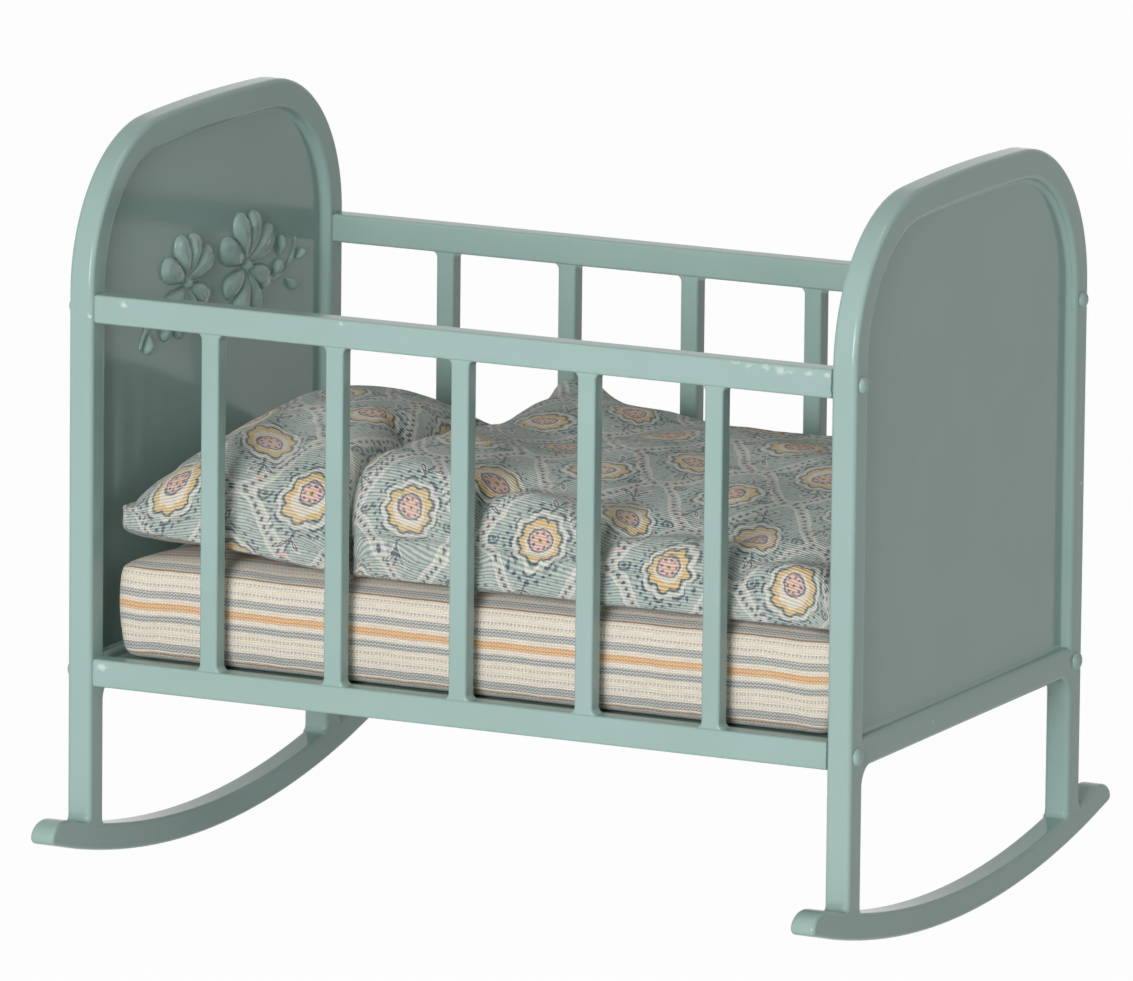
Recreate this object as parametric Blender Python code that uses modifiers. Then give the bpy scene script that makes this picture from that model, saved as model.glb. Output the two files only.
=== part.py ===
"""A metal doll cradle on rockers, with its mattress, pillow and quilt.

Lengths are in metres and +Z is up. The cradle stands on the floor at Z = 0, centred on the Z axis.
Its length runs along X, with the headboard at -X, and its width along Y, with the front gate at -Y.
"""

import math

import bmesh
import bpy
from mathutils import Matrix, Vector

# Overall sizes
gate_length = 0.118
cradle_width = 0.080
cradle_height = 0.110

# Fits
joint_gap = 0.0003
cut_overrun = 0.002
weld_distance = 0.000001

# End frames: the bent bar, its panel and its cross rail
end_depth = 0.0039
bar_width = 0.0044
bar_edge = 0.0008
corner_radius = 0.023
crown_radius = 0.380
panel_thickness = 0.0008
cross_rail_height = 0.0044
corner_steps = 12
crown_steps = 6

# Rockers
rocker_radius = 0.185
rocker_height = 0.0040
rocker_reach = 0.0513
rocker_edge = 0.0006
nose_length = 0.0048
nose_lip = 0.0010
nose_low = 0.0010
rocker_steps = 25
nose_steps = 5
lip_steps = 2

# Side gates
top_rail_top = 0.0865
top_rail_height = 0.0042
bottom_rail_base = 0.0286
bottom_rail_height = 0.0041
rail_depth = 0.0034
rail_setback = 0.0005
rail_edge = 0.0004
slat_count = 5
slat_width = 0.00285
slat_depth = 0.0028
slat_edge = 0.0004

# Rivets
rivet_head_radius = 0.0012
rivet_head_height = 0.0005
rivet_shank_radius = 0.0007
rivet_clearance = 0.0003
rivet_hold = 0.0030
rivet_steps = 16
dome_steps = 4
bore_steps = 16

# Base plate
base_drop = 0.0008
base_thickness = 0.0008
base_flange = 0.0027

# Bedding
pillow_cells = (9, 13)
quilt_cells = (13, 9)
mattress_height = 0.0151
mattress_end_gap = 0.0010
mattress_side_gap = 0.0009
mattress_crown = 0.0006
mattress_bulge = 0.0004
mattress_roll = 0.0026
pillow_length = 0.0378
pillow_side_gap = 0.0012
pillow_edge = 0.0020
pillow_rise = 0.0174
pillow_head_lift = 0.0046
pillow_foot_lift = 0.0004
pillow_draw = 0.0014
quilt_end_gap = 0.0012
quilt_side_gap = 0.0009
quilt_edge = 0.0014
quilt_rise = 0.0169
quilt_head_lift = 0.0006
quilt_foot_lift = 0.0002
quilt_draw = 0.0004

# The mattress's cage has its points at 0, a half or the whole of each half size
edge_share = 0.75
middle_share = 0.25

# How near its edge a stuffed piece lifts off: a power of the share of its half size
lift_share = 5.0

# How full a stuffed piece is towards each of its ends and sides, as a power and a roundness
pillow_end_shares = ((2.2, 0.78), (7.0, 0.32))
pillow_side_shares = ((3.6, 0.50), (2.4, 0.85))
quilt_end_shares = ((22.0, 0.14), (5.0, 0.45))
quilt_side_shares = ((16.0, 0.20), (6.0, 0.36))

# Folds and swellings of the stuffed pieces: start and end along and across, width and height, as
# shares of the half length, half width and rise. A negative height is a fold.
pillow_fold_shares = [
    (-0.10, -0.10, 0.20, 0.05, 0.60, 0.04),
    (-0.90, -0.95, -0.35, -0.40, 0.18, -0.12),
    (0.30, -1.00, 0.10, -0.50, 0.16, -0.14),
    (0.80, 0.60, 0.95, 0.95, 0.35, -0.20),
]
quilt_fold_shares = [
    (-1.00, 0.90, -0.84, 0.92, 0.14, 0.30),
    (-0.90, -0.75, -0.80, -0.40, 0.26, 0.03),
    (-0.62, 0.10, -1.00, 0.25, 0.26, -0.10),
    (-0.49, -1.05, -0.48, -0.82, 0.08, -0.34),
    (0.03, -1.05, 0.05, -0.86, 0.08, -0.24),
    (0.59, -1.05, 0.60, -0.88, 0.08, -0.22),
    (0.55, -1.10, 1.10, -1.10, 0.95, -0.60),
    (0.00, 0.95, 1.10, 0.90, 0.45, -0.17),
    (-0.66, -0.10, -0.30, 0.50, 0.14, -0.09),
]

# Where the rest follows from
half_gate = gate_length / 2
half_width = cradle_width / 2
end_middle = half_gate + end_depth / 2
bottom_rail_top = bottom_rail_base + bottom_rail_height
top_rail_base = top_rail_top - top_rail_height
cross_rail_top = bottom_rail_base + cross_rail_height
rail_middle = half_width - rail_setback - rail_depth / 2
rail_inside = half_width - rail_setback - rail_depth
base_top = bottom_rail_top - base_drop
mattress_base = base_top + joint_gap
mattress_top = mattress_base + mattress_height
bedding_base = mattress_top + joint_gap
pillow_head = -half_gate + mattress_end_gap
pillow_foot = pillow_head + pillow_length
rivet_across = half_width - bar_width / 2
rivet_heights = (top_rail_top - top_rail_height / 2, bottom_rail_base + bottom_rail_height / 2)
rocker_tip = rocker_radius * math.asin(rocker_reach / (rocker_radius - nose_low))
rocker_facet = 2 * (rocker_tip - nose_lip) / rocker_steps
rocker_centre = rocker_radius * math.cos(rocker_facet / rocker_radius / 2)

pillow_shape = {
    "side_gap": pillow_side_gap,
    "edge": pillow_edge,
    "rise": pillow_rise,
    "head_lift": pillow_head_lift,
    "foot_lift": pillow_foot_lift,
    "draw": pillow_draw,
    "end_shares": pillow_end_shares,
    "side_shares": pillow_side_shares,
    "fold_shares": pillow_fold_shares,
}
quilt_shape = {
    "side_gap": quilt_side_gap,
    "edge": quilt_edge,
    "rise": quilt_rise,
    "head_lift": quilt_head_lift,
    "foot_lift": quilt_foot_lift,
    "draw": quilt_draw,
    "end_shares": quilt_end_shares,
    "side_shares": quilt_side_shares,
    "fold_shares": quilt_fold_shares,
}

ENDS = {"headboard": -1, "footboard": 1}
SIDES = {"front": -1, "back": 1}
rivet_places = [(side * rivet_across, up) for side in SIDES.values() for up in rivet_heights]

# Colours, roughness and metallic share of each finish
ENAMEL = ((0.235, 0.345, 0.310), 0.32, 0.0)
STRIPE_CLOTH = ((0.600, 0.540, 0.440), 0.85, 0.0)
PRINT_CLOTH = ((0.240, 0.330, 0.320), 0.85, 0.0)


def clear_scene():
    for obj in list(bpy.data.objects):
        bpy.data.objects.remove(obj, do_unlink=True)


def new_collection(name):
    collection = bpy.data.collections.new(name)
    bpy.context.scene.collection.children.link(collection)
    return collection


def give_finish(obj, finish):
    """Gives the piece a material of its own in the finish's colour, roughness and metallic share."""
    colour, roughness, metallic = finish
    material = bpy.data.materials.new(obj.name + "_finish")
    material.use_nodes = True
    shader = material.node_tree.nodes["Principled BSDF"]
    shader.inputs["Base Color"].default_value = (*colour, 1.0)
    shader.inputs["Roughness"].default_value = roughness
    shader.inputs["Metallic"].default_value = metallic
    material.diffuse_color = (*colour, 1.0)
    obj.data.materials.append(material)


def add_object(name, bm, place, finish):
    """Makes a named piece from a bmesh whose points are measured from the place."""
    mesh = bpy.data.meshes.new(name)
    bmesh.ops.recalc_face_normals(bm, faces=bm.faces[:])
    bm.to_mesh(mesh)
    bm.free()
    obj = bpy.data.objects.new(name, mesh)
    obj.location = place
    if finish:
        give_finish(obj, finish)
        parts.objects.link(obj)
        obj.parent = cradle
    else:
        obj.hide_render = True
        obj.display_type = "WIRE"
        cutters.objects.link(obj)
    return obj


def round_edges(obj, radius, segments=2):
    bevel = obj.modifiers.new("rounded_edges", "BEVEL")
    bevel.width = radius
    bevel.segments = segments
    bevel.limit_method = "ANGLE"
    bevel.angle_limit = math.radians(40)
    obj.data.shade_smooth()
    obj.data.set_sharp_from_angle(angle=math.radians(40))


def cut_with(obj, cutter):
    cut = obj.modifiers.new("cut_" + cutter.name, "BOOLEAN")
    cut.operation = "DIFFERENCE"
    cut.solver = "EXACT"
    cut.object = cutter


def add_box(name, centre, size, edge):
    bm = bmesh.new()
    bmesh.ops.create_cube(bm, size=1.0, matrix=Matrix.Diagonal((*size, 1.0)))
    obj = add_object(name, bm, centre, ENAMEL)
    round_edges(obj, edge)
    return obj


def add_outline(name, points, middle, depth):
    """Makes a solid of an outline in the YZ plane, with the depth along X and its middle at X = middle."""
    data = bpy.data.curves.new(name, "CURVE")
    data.dimensions = "2D"
    data.fill_mode = "BOTH"
    data.extrude = depth / 2
    spline = data.splines.new("POLY")
    spline.points.add(len(points) - 1)
    for point, (across, up) in zip(spline.points, points):
        point.co = (across, up, 0.0, 1.0)
    spline.use_cyclic_u = True
    curve = bpy.data.objects.new(name + "_outline", data)
    curve.location = (middle, 0.0, 0.0)
    curve.rotation_euler = (math.pi / 2, 0.0, math.pi / 2)
    cutters.objects.link(curve)
    graph = bpy.context.evaluated_depsgraph_get()
    mesh = bpy.data.meshes.new_from_object(curve.evaluated_get(graph))
    bm = bmesh.new()
    bm.from_mesh(mesh)
    bmesh.ops.remove_doubles(bm, verts=bm.verts[:], dist=weld_distance)
    obj = add_object(name, bm, curve.location, ENAMEL)
    obj.rotation_euler = curve.rotation_euler
    bpy.data.objects.remove(curve, do_unlink=True)
    bpy.data.meshes.remove(mesh)
    return obj


def arc(centre, radius, start, end, steps):
    """Points on a circle in the YZ plane, with angles from +Y towards +Z."""
    angles = [start + (end - start) * step / steps for step in range(steps + 1)]
    return [(centre[0] + radius * math.cos(a), centre[1] + radius * math.sin(a)) for a in angles]


def arch_line(inset):
    """The arch from its +Y side over the top to its -Y side: two corner arcs joined by a shallow crown."""
    across = half_width - corner_radius
    lean = math.asin(across / (crown_radius - corner_radius))
    crown_centre = cradle_height - crown_radius
    corner_centre = crown_centre + (crown_radius - corner_radius) * math.cos(lean)
    corner = arc((across, corner_centre), corner_radius - inset, 0.0, math.pi / 2 - lean, corner_steps)
    crown = arc((0.0, crown_centre), crown_radius - inset, math.pi / 2 - lean, math.pi / 2 + lean, crown_steps)
    mirrored = [(-y, z) for y, z in reversed(corner)]
    return corner + crown[1:-1] + mirrored


def above_rocker(across):
    """The height at which a leg ends, a joint gap above the rocker's upper side."""
    seat = rocker_radius - rocker_height - joint_gap
    return rocker_centre - math.sqrt(seat**2 - across**2)


def add_arch_bar(end, side):
    outer = arch_line(0.0)
    inner = arch_line(bar_width)
    leg_outside = half_width
    leg_inside = half_width - bar_width
    outline = [(leg_outside, above_rocker(leg_outside))] + outer + [(-leg_outside, above_rocker(leg_outside))]
    outline += [(-leg_inside, above_rocker(leg_inside))] + inner[::-1] + [(leg_inside, above_rocker(leg_inside))]
    bar = add_outline(end + "_arch_bar", outline, side * end_middle, end_depth)
    round_edges(bar, bar_edge)
    return bar


def add_panel(end, side):
    inset = bar_width + joint_gap
    foot = cross_rail_top + joint_gap
    side_y = half_width - inset
    outline = [(side_y, foot)] + arch_line(inset) + [(-side_y, foot)]
    return add_outline(end + "_panel", outline, side * end_middle, panel_thickness)


def add_cross_rail(end, side):
    length = 2 * (half_width - bar_width - joint_gap)
    centre = (side * end_middle, 0.0, bottom_rail_base + cross_rail_height / 2)
    return add_box(end + "_cross_rail", centre, (end_depth, length, cross_rail_height), bar_edge)


def on_rocker(along, lift):
    """A point of the rocker's outline, from its distance along the underside and its height over it."""
    angle = along / rocker_radius
    reach = rocker_radius - lift
    return reach * math.sin(angle), rocker_centre - reach * math.cos(angle)


def add_rocker(end, side):
    """A bar bent to an arc, whose tips are rounded over towards the top."""
    half = []
    for step in range(lip_steps + 1):
        turn = math.pi / 2 * step / lip_steps
        half.append((rocker_tip - nose_lip * (1 - math.sin(turn)), nose_low * (1 - math.cos(turn))))
    for step in range(1, nose_steps + 1):
        turn = math.pi / 2 * step / nose_steps
        rise = (rocker_height - nose_low) * math.sin(turn)
        half.append((rocker_tip - nose_length * (1 - math.cos(turn)), nose_low + rise))
    low_half = rocker_tip - nose_lip
    top_half = rocker_tip - nose_length
    underside = [(low_half * (2 * step / rocker_steps - 1), 0.0) for step in range(1, rocker_steps)]
    upper = [(top_half * (1 - 2 * step / rocker_steps), rocker_height) for step in range(1, rocker_steps)]
    around = underside + half + upper + [(-along, lift) for along, lift in reversed(half)]
    rocker = add_outline(end + "_rocker", [on_rocker(*point) for point in around], side * end_middle, end_depth)
    round_edges(rocker, rocker_edge)
    return rocker


def add_bores(end, side):
    """One cutter for the rivet holes of an end: through the posts and into the ends of the rails."""
    outside = half_gate + end_depth + cut_overrun
    inside = half_gate - rivet_hold - rivet_clearance
    turned = Matrix.Rotation(math.pi / 2, 4, "Y")
    bm = bmesh.new()
    for across, up in rivet_places:
        place = Matrix.Translation((side * (outside + inside) / 2, across, up))
        bmesh.ops.create_cone(
            bm,
            cap_ends=True,
            segments=bore_steps,
            radius1=rivet_shank_radius + rivet_clearance,
            radius2=rivet_shank_radius + rivet_clearance,
            depth=outside - inside,
            matrix=place @ turned,
        )
    return add_object(end + "_bores", bm, (0.0, 0.0, 0.0), None)


def add_rivet(name, side, across, up):
    """A domed head on the post's outer face, with its shank reaching into the rail."""
    seat = joint_gap
    profile = []
    for step in range(dome_steps + 1):
        turn = math.pi / 2 * (1 - step / dome_steps)
        profile.append((rivet_head_radius * math.cos(turn), seat + rivet_head_height * math.sin(turn)))
    profile += [(rivet_shank_radius, seat), (rivet_shank_radius, -end_depth - rivet_hold)]
    profile += [(0.0, -end_depth - rivet_hold)]
    mesh = bpy.data.meshes.new(name)
    edges = [(index, index + 1) for index in range(len(profile) - 1)]
    mesh.from_pydata([(radius, 0.0, height) for radius, height in profile], edges, [])
    rivet = bpy.data.objects.new(name, mesh)
    rivet.location = (side * (half_gate + end_depth), across, up)
    rivet.rotation_euler = (0.0, side * math.pi / 2, 0.0)
    rivet.parent = cradle
    parts.objects.link(rivet)
    give_finish(rivet, ENAMEL)
    turned = rivet.modifiers.new("turned", "SCREW")
    turned.axis = "Z"
    turned.angle = 2 * math.pi
    turned.steps = rivet_steps
    turned.render_steps = rivet_steps
    turned.use_merge_vertices = True
    turned.merge_threshold = weld_distance
    turned.use_smooth_shade = True
    return rivet


def add_gate(gate, side):
    """A top rail, a bottom rail and the slats between them, with equal spaces between slats and ends."""
    rail_length = gate_length - 2 * joint_gap
    across = side * rail_middle
    top_centre = (0.0, across, top_rail_top - top_rail_height / 2)
    bottom_centre = (0.0, across, bottom_rail_base + bottom_rail_height / 2)
    top = add_box(gate + "_top_rail", top_centre, (rail_length, rail_depth, top_rail_height), rail_edge)
    bottom = add_box(gate + "_bottom_rail", bottom_centre, (rail_length, rail_depth, bottom_rail_height), rail_edge)
    slat_low = bottom_rail_top + joint_gap
    slat_high = top_rail_base - joint_gap
    space = (gate_length - slat_count * slat_width) / (slat_count + 1)
    for number in range(slat_count):
        along = -half_gate + space + slat_width / 2 + number * (space + slat_width)
        centre = (along, across, (slat_low + slat_high) / 2)
        size = (slat_width, slat_depth, slat_high - slat_low)
        add_box(f"{gate}_slat_{number + 1}", centre, size, slat_edge)
    return top, bottom


def add_base_plate():
    """A sheet between the bottom rails, with its long edges turned down against them."""
    edge = rail_inside - joint_gap
    inner = edge - base_thickness
    low = base_top - base_thickness - base_flange
    under = base_top - base_thickness
    outline = [(edge, low), (edge, base_top), (-edge, base_top), (-edge, low)]
    outline += [(-inner, low), (-inner, under), (inner, under), (inner, low)]
    return add_outline("base_plate", outline, 0.0, gate_length - 2 * joint_gap)


def add_subdivision(obj, levels):
    smooth = obj.modifiers.new("rounded", "SUBSURF")
    smooth.levels = levels
    smooth.render_levels = levels
    obj.data.shade_smooth()


def add_mattress():
    """A boxed cushion: flat underneath, slightly crowned on top, with soft edges and full sides."""
    half_length = half_gate - mattress_end_gap
    half_across = rail_inside - mattress_side_gap
    bm = bmesh.new()
    bmesh.ops.create_cube(bm, size=2.0)
    bmesh.ops.subdivide_edges(bm, edges=bm.edges[:], cuts=3, use_grid_fill=True)
    halves = Vector((half_length, half_across, mattress_height / 2))
    for vert in bm.verts:
        share = vert.co.copy()
        for axis in range(3):
            inner = halves[axis] - mattress_roll
            if abs(share[axis]) > edge_share:
                vert.co[axis] = math.copysign(halves[axis], share[axis])
            elif abs(share[axis]) > middle_share:
                vert.co[axis] = math.copysign(inner, share[axis])
            else:
                vert.co[axis] = 0.0
        fullness = (1 - share.x**2) * (1 - share.y**2)
        upper = share.z > edge_share
        waist = 1 - share.z**2
        vert.co.x -= math.copysign(mattress_bulge * (1 - waist), share.x)
        vert.co.y -= math.copysign(mattress_bulge * (1 - waist), share.y)
        vert.co.z += mattress_height / 2 - (mattress_crown * (1 - fullness) if upper else 0.0)
    mattress = add_object("mattress", bm, (0.0, 0.0, mattress_base), STRIPE_CLOTH)
    add_subdivision(mattress, 1)
    return mattress


def side_share(place, ends):
    """How full a stuffed piece is at a place from -1 to 1, where each end has its power and its roundness."""
    power, roundness = ends[0] if place < 0 else ends[1]
    return (1 - abs(place) ** power) ** roundness


def fold_height(along, across, folds):
    """The sum of the folds and swellings at a place, each fading to its sides as a bell curve."""
    total = 0.0
    for from_along, from_across, to_along, to_across, width, height in folds:
        line = Vector((to_along - from_along, to_across - from_across))
        offset = Vector((along - from_along, across - from_across))
        share = max(0.0, min(1.0, offset.dot(line) / line.length_squared))
        distance = (offset - share * line).length
        total += height * math.exp(-((distance / width) ** 2))
    return total


def add_stuffed(name, span, shape, cells):
    """A stuffed piece: flat underneath, crowned and folded above, with a soft edge drawn in at its sides."""
    half_length = (span[1] - span[0]) / 2
    half_across = rail_inside - shape["side_gap"]
    bm = bmesh.new()
    bmesh.ops.create_grid(bm, x_segments=cells[0], y_segments=cells[1], size=1.0)
    lifted = bmesh.ops.extrude_face_region(bm, geom=bm.faces[:])["geom"]
    upper = {vert for vert in lifted if isinstance(vert, bmesh.types.BMVert)}
    for vert in bm.verts:
        along = math.sin(vert.co.x * math.pi / 2)
        across = math.sin(vert.co.y * math.pi / 2)
        puff = side_share(along, shape["end_shares"]) * side_share(across, shape["side_shares"])
        rim = max(abs(along), abs(across)) ** lift_share
        lift = shape["head_lift"] + (shape["foot_lift"] - shape["head_lift"]) * (1 + along) / 2
        vert.co.x = half_length * along - shape["draw"] * along * (1 - across**2)
        vert.co.y = half_across * across - shape["draw"] * across * (1 - along**2)
        vert.co.z = lift * rim
        if vert in upper:
            vert.co.z += shape["edge"] + shape["rise"] * puff * (1 + fold_height(along, across, shape["fold_shares"]))
    stuffed = add_object(name, bm, ((span[0] + span[1]) / 2, 0.0, bedding_base), PRINT_CLOTH)
    add_subdivision(stuffed, 1)
    return stuffed


clear_scene()
parts = new_collection("doll_cradle")
cutters = new_collection("cutters")
cradle = bpy.data.objects.new("cradle", None)
parts.objects.link(cradle)

rails = {gate: add_gate(gate, side) for gate, side in SIDES.items()}
for end, side in ENDS.items():
    bar = add_arch_bar(end, side)
    add_panel(end, side)
    add_cross_rail(end, side)
    add_rocker(end, side)
    bores = add_bores(end, side)
    for piece in [bar, *rails["front"], *rails["back"]]:
        cut_with(piece, bores)
    for gate, gate_side in SIDES.items():
        for level, up in zip(("top", "bottom"), rivet_heights):
            add_rivet(f"{end}_{gate}_{level}_rivet", side, gate_side * rivet_across, up)
add_base_plate()
add_mattress()
add_stuffed("pillow", (pillow_head, pillow_foot), pillow_shape, pillow_cells)
add_stuffed("quilt", (pillow_foot + joint_gap, half_gate - quilt_end_gap), quilt_shape, quilt_cells)
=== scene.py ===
import math

import bmesh
import bpy
from mathutils import Matrix, Vector, noise


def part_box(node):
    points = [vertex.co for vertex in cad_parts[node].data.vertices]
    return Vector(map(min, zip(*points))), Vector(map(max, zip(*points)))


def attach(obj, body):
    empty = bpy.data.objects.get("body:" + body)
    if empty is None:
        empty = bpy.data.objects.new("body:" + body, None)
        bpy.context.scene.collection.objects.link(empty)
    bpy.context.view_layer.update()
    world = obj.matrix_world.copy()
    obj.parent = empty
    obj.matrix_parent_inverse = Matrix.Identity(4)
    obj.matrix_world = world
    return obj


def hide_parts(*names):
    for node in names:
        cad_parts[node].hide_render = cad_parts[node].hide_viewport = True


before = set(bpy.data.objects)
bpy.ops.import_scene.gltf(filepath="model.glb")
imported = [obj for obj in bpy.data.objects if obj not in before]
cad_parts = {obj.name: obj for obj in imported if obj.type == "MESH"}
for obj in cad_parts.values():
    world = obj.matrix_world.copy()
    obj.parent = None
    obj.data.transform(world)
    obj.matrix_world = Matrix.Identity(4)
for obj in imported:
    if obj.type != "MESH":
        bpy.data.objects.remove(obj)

bl_info = {
    "name": "Doll Cradle",
    "version": (1, 0, 0),
    "blender": (4, 5, 0),
    "location": "3D View > Sidebar > Doll Cradle",
    "description": "Builds an enamelled metal doll cradle with its mattress, pillow and quilt",
    "category": "Object",
}

# Which way each end lies along X, and each side along Y, and the body that they all belong to
ENDS = {"headboard": -1, "footboard": 1}
SIDES = {"front": -1, "back": 1}
SLATS = range(1, 6)
CRADLE = "cradle"

MM = 0.001

# Boxes of the solids, from the frame
BAR_LOW, BAR_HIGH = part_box("footboard_arch_bar")
RAIL_LOW, RAIL_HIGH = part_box("front_top_rail")
LOW_RAIL_LOW, LOW_RAIL_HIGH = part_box("front_bottom_rail")
ROCKER_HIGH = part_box("footboard_rocker")[1]
CROSS_LOW, CROSS_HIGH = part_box("footboard_cross_rail")
PANEL_LOW, PANEL_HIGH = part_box("footboard_panel")
BASE_LOW, BASE_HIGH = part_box("base_plate")
MATTRESS_LOW, MATTRESS_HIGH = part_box("mattress")
PILLOW_LOW, PILLOW_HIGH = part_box("pillow")
QUILT_LOW, QUILT_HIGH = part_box("quilt")

END_MIDDLE = (BAR_LOW.x + BAR_HIGH.x) / 2
END_DEPTH = BAR_HIGH.x - BAR_LOW.x
HALF_GATE = BAR_LOW.x
HALF_WIDTH = BAR_HIGH.y
HEIGHT = BAR_HIGH.z
LEG_INSIDE = CROSS_HIGH.y + 0.3 * MM
BAR_WIDTH = HALF_WIDTH - LEG_INSIDE
RAIL_INSIDE = -RAIL_HIGH.y

# Curves and edges of the metal, which the boxes don't give
CORNER_RADIUS = 23.0 * MM
CROWN_RADIUS = 380.0 * MM
ROCKER_RADIUS = 185.0 * MM
ROCKER_HEIGHT = 4.0 * MM
NOSE_LENGTH = 4.8 * MM
NOSE_DROP = 3.0 * MM
NOSE_LIP = 1.0 * MM
ROCKER_EDGE = 0.6 * MM
BAR_EDGE = 0.8 * MM
BASE_THICKNESS = 0.8 * MM
BASE_BEND = 0.4 * MM
BASE_EDGE = 0.25 * MM
SLAT_SINK = 1.2 * MM
BEAD_SLOPE = 1.1
BEAD_UNEVENNESS = 0.12 * MM
LOW_STUD_GROWTH = 1.12
STUD_UNEVENNESS = 0.05 * MM

# Into how many steps the round parts are cut, and over what share of its length a rocker is
SECTION_STEPS = 5
PANEL_STEPS = 6
BEAD_STEPS = 5
CORNER_STEPS = 28
CROWN_STEPS = 12
ROCKER_CUTS = 64
ROCKER_CUT_REACH = 0.88

# How far a piece reaches into its neighbour so that no gap shows, and how near is touching
OVERLAP = 0.02 * MM
SINK = 0.4 * MM
WELD = 0.001 * MM

# The camera that took the photograph, in the frame's coordinates
CAMERA_PLACE = Vector((0.92795, -1.90035, 0.47797))
CAMERA_AZIMUTH = 26.0736
CAMERA_ELEVATION = 11.2706
CAMERA_ROLL = 0.6102
CAMERA_LENS = 470.7
CAMERA_SENSOR = 36.0

# The lamps: place, width and height of the shade. All point at the middle of the cradle.
LAMPS = {
    "key": ((0.15, -1.80, 0.40), 0.85, 0.85),
    "fill": ((1.52, -0.50, 0.52), 0.07, 0.80),
    "top": ((0.05, -0.05, 1.20), 0.50, 0.50),
}
LAMP_AIM = Vector((0.0, 0.0, 0.055))
FLOOR_REACH = 12.0
FLOOR_GREY = (0.92, 0.92, 0.92)
WHITE = (1.0, 1.0, 1.0)

# Soft pieces are simulated ten times as large as they are
CLOTH_SCALE = 10.0
CLOTH_FRAMES = 20
CLOTH_SETTINGS = {
    "quality": 6,
    "mass": 0.3,
    "tension_stiffness": 12.0,
    "compression_stiffness": 12.0,
    "shear_stiffness": 4.0,
    "bending_stiffness": 0.35,
}


def number_property(name, description, default, **kind):
    return bpy.props.FloatProperty(name=name, description=description, default=default, **kind)


def length_property(name, description, default):
    return number_property(name, description, default, unit="LENGTH")


def power_property(name, description, default):
    return number_property(name, description, default, subtype="POWER")


def colour_property(name, description, default):
    limits = {"size": 3, "min": 0.0, "max": 1.0}
    return bpy.props.FloatVectorProperty(
        name=name, description=description, default=default, subtype="COLOR", **limits
    )


class CradleMetalSizes(bpy.types.PropertyGroup):
    """Sizes of the enamelled metal that the frame leaves open."""

    panel_fillet: length_property(
        "Panel Fillet", "Radius of the soft corner between a panel and the bar round it", 0.75 * MM
    )
    brace_fillet: length_property(
        "Cross Rail Fillet", "Radius of the corner under each end of a cross rail", 2.9 * MM
    )
    slat_flare: length_property("Slat Flare", "Radius by which a slat widens into its rails", 0.9 * MM)
    rail_edge: length_property("Rail Edge", "Radius of the edges of rails and slats", 0.42 * MM)
    weld_width: length_property(
        "Weld Width", "How far the bead between a leg and its rocker spreads", 0.7 * MM
    )
    rivet_radius: length_property("Rivet Radius", "Radius of a rivet's domed head", 1.2 * MM)
    petal_length: length_property("Petal Length", "Length of a petal of the raised flowers", 8.2 * MM)
    petal_height: length_property(
        "Petal Height", "How far a petal stands out of the headboard's panel", 1.5 * MM
    )


class CradleBeddingSizes(bpy.types.PropertyGroup):
    """Sizes and cloth settings of the mattress, pillow and quilt."""

    cell: length_property("Cloth Cell", "Spacing of the points of the printed cloth", 0.95 * MM)
    pressure: number_property(
        "Filling Pressure", "Pressure of the stuffing on the cloth while it is simulated", 4.0
    )
    slack: number_property(
        "Cloth Slack", "Share by which the cloth is larger than the form under it", 0.05, subtype="FACTOR"
    )
    travel: length_property(
        "Cloth Travel", "How far a point of the cloth may move while it is simulated", 0.8 * MM
    )
    pucker: length_property("Seam Pucker", "Height of the small gathers along a seam", 0.11 * MM)


class CradleColours(bpy.types.PropertyGroup):
    """Colours of the enamel and the cloths."""

    enamel: colour_property("Enamel", "Sage green paint on all the metal", (0.302, 0.425, 0.404))
    enamel_deep: colour_property("Deep Enamel", "The paint where it lies thick", (0.262, 0.380, 0.352))
    # The chip colour paints the worn edges and the pale spots, which are partly chips and partly painted
    # glints on small dents
    enamel_chip_and_glint: colour_property("Enamel Chip", "Pale primer where paint is chipped", (0.72, 0.76, 0.73))
    ground: colour_property("Print Ground", "Ground of the printed cotton", (0.245, 0.340, 0.328))
    cotton: colour_property("Cotton", "Unprinted yarn of the printed cotton", (0.700, 0.655, 0.590))
    ochre: colour_property("Ochre", "Yellow of the print", (0.610, 0.400, 0.120))
    rose: colour_property("Rose", "Pink of the print", (0.660, 0.345, 0.315))
    navy: colour_property("Navy", "Outlines and dots of the print", (0.024, 0.060, 0.095))
    ticking: colour_property("Ticking", "Ground of the striped mattress cloth", (0.815, 0.745, 0.645))
    slate: colour_property("Slate Stripe", "Grey-blue stripes of the mattress", (0.230, 0.275, 0.305))
    amber: colour_property("Amber Stripe", "Orange stripes of the mattress", (0.690, 0.330, 0.090))
    umber: colour_property("Umber Stripe", "Brown lines of the mattress", (0.270, 0.150, 0.075))


class CradleStageSettings(bpy.types.PropertyGroup):
    """The floor, the lamps and the even light."""

    key_power: power_property("Key Lamp", "Power of the large soft lamp in front", 29.3)
    fill_power: power_property("Fill Lamp", "Power of the tall, narrow lamp to the right", 2.1)
    top_power: power_property("Top Lamp", "Power of the soft lamp overhead", 1.7)
    ambient: number_property("Ambient Light", "Strength of the even light from all round", 0.168)
    ambient_colour: colour_property("Ambient Colour", "Colour of the even light", (1.0, 0.975, 0.87))
    floor_white: number_property(
        "Floor White", "Share of plain white in the floor as the camera sees it", 0.97, subtype="FACTOR"
    )


def maths(operation, flipped=False):
    """A method that adds a Math node for the number and whatever comes with it."""

    def add_node(number, *others):
        values = (*others, number) if flipped else (number, *others)
        return number.finish.number("ShaderNodeMath", {"operation": operation}, dict(enumerate(values)))

    return add_node


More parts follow.
